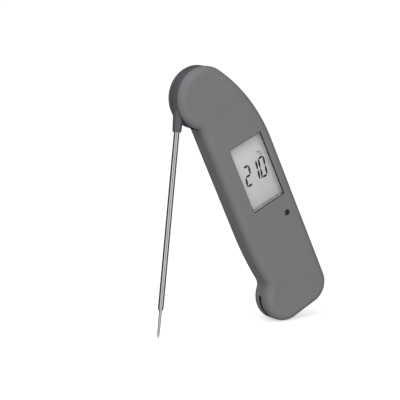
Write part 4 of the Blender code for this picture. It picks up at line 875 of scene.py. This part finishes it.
# %% [markdown]
# A seal lies in a groove on each side. The boot is bored in steps: a wide room for the ferrule, the
# bore of the tube with a flared mouth, and a thin passage up to the contacts.
# %% Grooves, bores and the finished disc
def seal_groove(side):
    far = HALF_HUB + MM
    return spun(((SEAL_OUTER, side * far), (SEAL_OUTER, side * SEAL_NEAR),
                 (SEAL_INNER, side * SEAL_NEAR), (SEAL_INNER, side * far)), ALONG_Y, 120)


TUBE_RADIUS, TUBE_BORE, MOUTH_RADIUS = 1.5 * MM, 1.7 * MM, 1.95 * MM
FERRULE_ROOM, FERRULE_LOW_Z, FERRULE_HIGH_Z = 2.2 * MM, -14.8 * MM, -9.2 * MM
TUBE_STOP_Z, WIRE_RADIUS, WIRE_TOP_Z = -4.9 * MM, 0.9 * MM, 3.2 * MM
MOUTH_BELOW, MOUTH_ABOVE = 0.4 * MM, 0.3 * MM
disc = carve(
    rim, ("UNION", boot), ("DIFFERENCE", seal_groove(-1)), ("DIFFERENCE", seal_groove(1)),
    ("DIFFERENCE", pocket),
    ("DIFFERENCE", rod(FERRULE_ROOM, (PROBE_X, 0, FERRULE_LOW_Z), (PROBE_X, 0, FERRULE_HIGH_Z))),
    ("DIFFERENCE", rod(TUBE_BORE, (PROBE_X, 0, -BOOT_REACH - MM), (PROBE_X, 0, TUBE_STOP_Z))),
    ("DIFFERENCE", rod(MOUTH_RADIUS, (PROBE_X, 0, -BOOT_REACH - MOUTH_BELOW),
                       (PROBE_X, 0, -BOOT_REACH + MOUTH_ABOVE), TUBE_BORE)),
    ("DIFFERENCE", rod(WIRE_RADIUS, (PROBE_X, 0, -BOOT_REACH), (PROBE_X, 0, WIRE_TOP_Z))))
keep_piece("turning_disc", disc, probe_place, "hub_grey", "probe", ("probe_hub",))

# %% [markdown]
# ## The probe tube and its needle
#
# The tube is thin drawn steel with its mouth rolled in over the shoulder of the needle. Both are
# turned shapes, so each is a half section spun round its axis. The needle narrows down in a short
# cone, runs nearly straight and ends in a fine point.
# %% Tube
NEEDLE_LENGTH, NEEDLE_RADIUS, SHOULDER_LENGTH, PROBE_REACH = 14 * MM, 0.75 * MM, 2.2 * MM, 127.0 * MM
TUBE_INSERTION, ROLL_IN, BORE = 13.5 * MM, 0.25 * MM, 1.15 * MM
tube_top = -BOOT_REACH + TUBE_INSERTION
tip = -PROBE_REACH
needle_top = tip + NEEDLE_LENGTH
tube_end = needle_top + SHOULDER_LENGTH
probe_axis = Matrix.Translation((PROBE_X, 0, 0))
tube = spun(((TUBE_RADIUS, tube_top), (TUBE_RADIUS, tube_end + ROLL_IN),
             (TUBE_RADIUS - 0.28 * ROLL_IN, tube_end + 0.28 * ROLL_IN),
             (TUBE_RADIUS - ROLL_IN, tube_end), (BORE, tube_end), (BORE, tube_top)),
            probe_axis, 96)
keep_piece("steel_tube", tube, probe_place, "drawn_steel", "probe", ("probe_tube",))

# %% Needle
SPIGOT_RADIUS, SPIGOT_LENGTH, SHOULDER_EDGE = 0.95 * MM, 4.5 * MM, 0.15 * MM
POINT_RADIUS = 0.3 * MM
head = tube_end - 0.1 * MM
cone_top = head - SHOULDER_EDGE
needle_profile = [(0, tube_end + SPIGOT_LENGTH), (SPIGOT_RADIUS, tube_end + SPIGOT_LENGTH),
                  (SPIGOT_RADIUS, head), (TUBE_RADIUS - 0.12 * MM, head), (TUBE_RADIUS, cone_top)]
CONE_STEPS = 12
for step in range(1, CONE_STEPS + 1):
    t = step / CONE_STEPS
    ease = t * t * (3 - 2 * t)
    needle_profile.append((TUBE_RADIUS + (NEEDLE_RADIUS - TUBE_RADIUS) * ease,
                           cone_top + (needle_top - cone_top) * t))
needle_profile += [(NEEDLE_RADIUS * 0.97, tip + 0.6 * NEEDLE_LENGTH),
                   (NEEDLE_RADIUS * 0.8, tip + 0.15 * NEEDLE_LENGTH),
                   (POINT_RADIUS, tip + POINT_RADIUS), (0.16 * MM, tip + 0.06 * MM), (0, tip)]
keep_piece("needle", spun(needle_profile, probe_axis, 64), probe_place, "ground_steel", "probe",
           ("probe_needle",))

# %% [markdown]
# ## The display
#
# A liquid-crystal panel is two sheets of glass, the rear one a little longer so that its edges
# take the contacts. Its front reflects a soft grey. The picture on it is a film of segments: each
# one is a six-sided bar with pointed ends, lifted a hair above the glass so it keeps its shape.
# %% Panel and window
panel_low, panel_high = body_box("lcd_panel")
front_y, back_y = panel_low.y, panel_high.y
FRONT_GLASS, GLASS_OVERLAP, CONTACT_LEDGE = 0.9 * MM, 0.1 * MM, 2 * MM
panel = block(panel_low.x, panel_high.x, front_y, front_y + FRONT_GLASS,
              panel_low.z + CONTACT_LEDGE, panel_high.z - CONTACT_LEDGE)
rear_glass = block(panel_low.x, panel_high.x, front_y + FRONT_GLASS - GLASS_OVERLAP, back_y,
                   panel_low.z, panel_high.z)
panel = carve(panel, ("UNION", rear_glass))
EDGE_BREAK = 0.1 * MM
soften(panel, [e for e in panel.edges if len(e.link_faces) == 2 and e.calc_face_angle() > 1],
       EDGE_BREAK, 2)
keep_piece("display_panel", panel, body_place, "lcd_grey", "body", ("lcd_panel",))

WINDOW_CORNER, WINDOW_EDGE = 0.4 * MM, 0.12 * MM
window_low, window_high = body_box("display_window")
window = rounded_block((window_low.x, window_high.x, window_low.z, window_high.z), WINDOW_CORNER,
                       window_low.y, window_high.y)
soften(window, [e for e in window.edges if e.calc_face_angle() > 1.2], WINDOW_EDGE, 2)
keep_piece("clear_window", window, body_place, "window_clear", "body", ("display_window",))

# %% [markdown]
# A thin black lining covers the edge of the case inside the opening. A near-white frame round the
# panel is a painted highlight: it stands in for the light that comes through the edge of its glass.
# %% Lining of the opening and painted highlight round the panel
FRAME_GAP, LINING_WIDTH, LINING_SINK, LINING_REACH = 0.02 * MM, 0.18 * MM, 0.28 * MM, 0.18 * MM
HIGHLIGHT_WIDTH, HIGHLIGHT_THICKNESS = 0.40 * MM, 0.05 * MM


def flat_frame(rectangle, width, y0, y1):
    inside = rounded_block(grown(rectangle, -width), DISPLAY_CORNER / 2, y0 - MM, y1 + MM)
    return carve(rounded_block(rectangle, DISPLAY_CORNER, y0, y1), ("DIFFERENCE", inside))


lining = flat_frame(grown(display, -FRAME_GAP), LINING_WIDTH, -FRONT_DEPTH + LINING_SINK,
                    -FRONT_DEPTH + LIP_DEPTH + LINING_REACH)
keep_piece("opening_lining", lining, body_place, "bezel_black", "body", ())
# painted highlight: a near-white frame just behind the window, round the panel
painted_panel_highlight = flat_frame(grown(display, -FRAME_GAP), HIGHLIGHT_WIDTH, window_high.y + FRAME_GAP,
                        window_high.y + FRAME_GAP + HIGHLIGHT_THICKNESS)
keep_piece("painted_panel_highlight", painted_panel_highlight, body_place, "painted_glass_highlight", "body", ())

# %% [markdown]
# The digits are built upright round the middle of the panel and then slanted together.
# %% Bars of the digits
BAR_HALF_WIDTH, BAR_GAP, DIGIT_WIDTH, DIGIT_STEP = 0.56 * MM, 0.45 * MM, 3.4 * MM, 5.25 * MM
DIGIT_SLANT, DIGIT_MIDDLE_Z, INK = radians(8.5), -50.3 * MM, 0.06 * MM
SEGMENTS = {"top": (0, 1, 0), "upper_left": (-0.5, 0.5, 1), "upper_right": (0.5, 0.5, 1),
            "middle": (0, 0, 0), "lower_left": (-0.5, -0.5, 1), "lower_right": (0.5, -0.5, 1),
            "bottom": (0, -1, 0)}
LIT = {"2": ("top", "upper_right", "middle", "lower_left", "bottom"),
       "1": ("upper_right", "lower_right"),
       "0": ("top", "upper_left", "upper_right", "lower_left", "lower_right", "bottom")}


def add_bar(bm, x, z, upright, length):
    """A pointed bar: a hexagon pulled apart along its length."""
    turn = Matrix.Rotation(pi / 2 if upright else 0, 4, "Y")
    face_front = Matrix.Rotation(pi / 2, 4, "X")
    made = bmesh.ops.create_circle(bm, cap_ends=True, segments=6, radius=BAR_HALF_WIDTH / sin(pi / 3))
    for vert in made["verts"]:
        side = 1 if vert.co.x > 0.01 * MM else -1 if vert.co.x < -0.01 * MM else 0
        vert.co.x += side * (length / 2 - BAR_HALF_WIDTH / sin(pi / 3))
    place = Matrix.Translation((x, 0, z)) @ turn @ face_front
    bmesh.ops.transform(bm, verts=made["verts"], matrix=place)


reading = bmesh.new()
for character, right_x in (("2", 8.2 * MM), ("1", 13.4 * MM), ("0", 18.6 * MM)):
    middle_x = right_x - DIGIT_WIDTH / 2
    for name in LIT[character]:
        across, up, upright = SEGMENTS[name]
        length = (DIGIT_STEP if upright else DIGIT_WIDTH) - BAR_GAP
        add_bar(reading, middle_x + across * DIGIT_WIDTH, up * DIGIT_STEP, upright, length)
slant = Matrix.Identity(4)
slant[0][2] = tan(DIGIT_SLANT)
reading.transform(Matrix.Translation((0, 0, DIGIT_MIDDLE_Z)) @ slant)
print("digits have", len(reading.faces), "bars")


# %% [markdown]
# The point and the unit are small: a round dot, a ring and an open letter drawn as thin strokes.
# The flat ink is then given a thickness and set against the panel.
# %% Point, unit and the finished reading
def add_stroke(bm, points, half_width):
    """A thin pen line through points on the panel, as a flat ribbon."""
    for (x0, z0), (x1, z1) in zip(points, points[1:]):
        length = hypot(x1 - x0, z1 - z0)
        made = bmesh.ops.create_grid(bm, x_segments=1, y_segments=1, size=1)
        place = (Matrix.Translation(((x0 + x1) / 2, 0, (z0 + z1) / 2))
                 @ Matrix.Rotation(-atan2(z1 - z0, x1 - x0), 4, "Y")
                 @ Matrix.Rotation(pi / 2, 4, "X")
                 @ Matrix.Diagonal((length / 2, half_width, 1, 1)))
        bmesh.ops.transform(bm, verts=made["verts"], matrix=place)


DOT_X, DOT_Z, DOT_RADIUS = 13.9 * MM, -55.4 * MM, 0.42 * MM
dot = bmesh.ops.create_circle(reading, cap_ends=True, segments=20, radius=DOT_RADIUS)
bmesh.ops.transform(reading, verts=dot["verts"], matrix=Matrix.Translation(
    (DOT_X, 0, DOT_Z)) @ Matrix.Rotation(pi / 2, 4, "X"))
C_X, C_Z, C_HALF_W, C_HALF_H = 18.6 * MM, -42.7 * MM, 0.55 * MM, 0.8 * MM
C_LEAN, C_STROKE, RING_STROKE = 0.2 * C_HALF_W, 0.12 * MM, 0.1 * MM
RING_X, RING_Z, RING_RADIUS, RING_STEPS = 17.1 * MM, -41.3 * MM, 0.33 * MM, 12
top_right = (C_X + C_HALF_W + C_LEAN, C_Z + C_HALF_H)
top_left = (C_X - C_HALF_W, C_Z + C_HALF_H)
bottom_left = (C_X - C_HALF_W - C_LEAN, C_Z - C_HALF_H)
bottom_right = (C_X + C_HALF_W, C_Z - C_HALF_H)
add_stroke(reading, [top_right, top_left, bottom_left, bottom_right], C_STROKE)
ring = [(RING_X + RING_RADIUS * cos(tau * i / RING_STEPS),
         RING_Z + RING_RADIUS * sin(tau * i / RING_STEPS)) for i in range(RING_STEPS + 1)]
add_stroke(reading, ring, RING_STROKE)
for face in reading.faces:
    face.normal_update()
    if face.normal.y > 0:
        face.normal_flip()
thick = bmesh.ops.extrude_face_region(reading, geom=reading.faces[:], use_keep_orig=True)
bmesh.ops.translate(reading, verts=[v for v in thick["geom"] if isinstance(v, bmesh.types.BMVert)],
                    vec=(0, -INK, 0))
bmesh.ops.translate(reading, verts=reading.verts, vec=(0, front_y - 0.02 * MM, 0))
keep_piece("reading", reading, body_place, "segment_ink", "body", (), recalc=True)

# %% [markdown]
# ## The light sensor
#
# A small dark dome in the face tells the instrument how bright the room is. It is a half section
# spun round its own axis, with a low crown.
# %% Sensor lens
lens_low, lens_high = body_box("light_sensor_lens")
lens_length = lens_high.y - lens_low.y
CROWN, CROWN_STEPS = 0.35 * MM, 8
lens_profile = [(0, -lens_length), (SENSOR_RADIUS, -lens_length), (SENSOR_RADIUS, -CROWN)]
for step in range(1, CROWN_STEPS + 1):
    angle = pi / 2 * step / CROWN_STEPS
    lens_profile.append((SENSOR_RADIUS * cos(angle), -CROWN + CROWN * sin(angle)))
lens_profile[-1] = (0, 0)
lens = spun(lens_profile, Matrix.Translation((SENSOR_X, lens_low.y, SENSOR_Z))
            @ Matrix.Rotation(pi / 2, 4, "X"), 48)
keep_piece("sensor_lens", lens, body_place, "smoked_lens", "body", ("light_sensor_lens",))

# %% [markdown]
# ## Screws with a cross recess
#
# Each screw is a turned pan head on a shank. Two crossed blocks cut the drive recess, so
# that a driver fits it. One function serves the four case screws and the one in the cover.
# %% Screws
def cross_screw(node, head_radius, head_height, shank_radius):
    low, high = body_box(node)
    x, z = (low.x + high.x) / 2, (low.z + high.z) / 2
    crown, seat, end = high.y, high.y - head_height, low.y
    edge = 0.3 * head_height
    profile = [(0, crown)]
    for step in range(7):
        angle = pi / 2 * (1 - step / 6)
        profile.append((head_radius - edge + edge * cos(angle), crown - edge + edge * sin(angle)))
    profile += [(head_radius, seat), (shank_radius, seat), (shank_radius, end + 0.5 * MM),
                (shank_radius * 0.5, end), (0, end)]
    screw = spun(profile, Matrix.Translation((x, 0, z)) @ ALONG_Y, 48)
    steps = []
    for turn in (0.35, 0.35 + pi / 2):
        wedge = block(-0.5 * head_radius, 0.5 * head_radius, crown - 0.55 * head_height, crown + MM,
                      -0.13 * head_radius, 0.13 * head_radius)
        wedge.transform(Matrix.Translation((x, 0, z)) @ Matrix.Rotation(turn, 4, "Y"))
        steps.append(("DIFFERENCE", wedge))
    screw = carve(screw, *steps)
    keep_piece(node + "_cross", screw, body_place, "screw_steel", "body", (node,))


for number in range(1, 5):
    cross_screw(f"case_screw_{number}", 2.1 * MM, 1.6 * MM, 1.0 * MM)
cross_screw("battery_cover_screw", 1.6 * MM, 0.9 * MM, 0.8 * MM)

# %% [markdown]
# ## The battery cover
#
# The cover is a flat plate with softened edges, held by its screw. A row of shallow grooves near
# the screw gives a thumb some grip when the cover is lifted off.
# %% Battery cover
plate = rounded_block(cover, COVER_CORNER, cover_low.y, cover_high.y, 12)
soften(plate, [e for e in plate.edges if e.calc_face_angle() > 1.2
               and min(v.co.y for v in e.verts) > cover_high.y - 0.01 * MM], 0.25 * MM, 3)
HEAD_ROOM_RADIUS, HEAD_ROOM_DEPTH = 1.8 * MM, 1.2 * MM
cover_steps = [
    ("DIFFERENCE", rod(HEAD_ROOM_RADIUS,
                       (cover_screw_x, REAR_DEPTH - HEAD_ROOM_DEPTH, cover_screw_z),
                       (cover_screw_x, OUTSIDE_Y, cover_screw_z))),
    ("DIFFERENCE", rod(COVER_PILOT_RADIUS, (cover_screw_x, 0, cover_screw_z),
                       (cover_screw_x, REAR_DEPTH, cover_screw_z)))]
GROOVE_COUNT, GROOVE_PITCH, GROOVE_RADIUS = 6, 1.7 * MM, 0.55 * MM
GROOVE_HALF_LENGTH, GROOVE_LIFT, FIRST_GROOVE = 3.6 * MM, 0.2 * MM, 6.5 * MM
groove_y = cover_high.y + GROOVE_LIFT
for number in range(GROOVE_COUNT):
    z = cover_screw_z - FIRST_GROOVE - number * GROOVE_PITCH
    groove = rod(GROOVE_RADIUS, (cover_screw_x - GROOVE_HALF_LENGTH, groove_y, z),
                 (cover_screw_x + GROOVE_HALF_LENGTH, groove_y, z), segments=24)
    cover_steps.append(("DIFFERENCE", groove))
keep_piece("cover_plate", carve(plate, *cover_steps), body_place, "case_grey", "body",
           ("battery_cover",))

# %% [markdown]
# ## Finishes of the solids that stay
#
# The other solids already have the right shape, so they only get a finish. The slots of each
# object are assigned by name, and the meshes are left alone.
# %% Finishes by name
KEPT = {
    "bezel_black": ("display_bezel",),
    "seal_rubber": ("case_seal", "battery_cover_seal", "hub_seal_front", "hub_seal_rear",
                    "lcd_connector_lower", "lcd_connector_upper"),
    "board_green": ("main_board", "contact_carrier", "cold_junction_board"),
    "chip_black": ("light_sensor", "microcontroller", "probe_amplifier", "orientation_sensor",
                   "power_regulator"),
    "contact_brass": ("contact_finger_1", "contact_finger_2", "slip_ring_1", "slip_ring_2",
                      "tube_ferrule", "thermocouple_core"),
    "contact_nickel": ("battery_contact_plate", "battery_contact_spring", "hub_magnet"),
    "screw_steel": ("pivot_spindle", "friction_washer"),
    "tray_white": ("battery_tray",),
    "guide_white": ("backlight_guide",),
    "lamp_white": ("backlight_led_1", "backlight_led_2"),
    "cell_can": ("battery_cell",),
    "reed_glass": ("reed_switch",),
    "hub_grey": ("hub_lid",),
}
for finish, nodes in KEPT.items():
    for node in nodes:
        for material_slot in frame["nodes"][node].material_slots:
            material_slot.material = finishes[finish]
print(sum(len(nodes) for nodes in KEPT.values()), "solids keep their shape and get a finish")
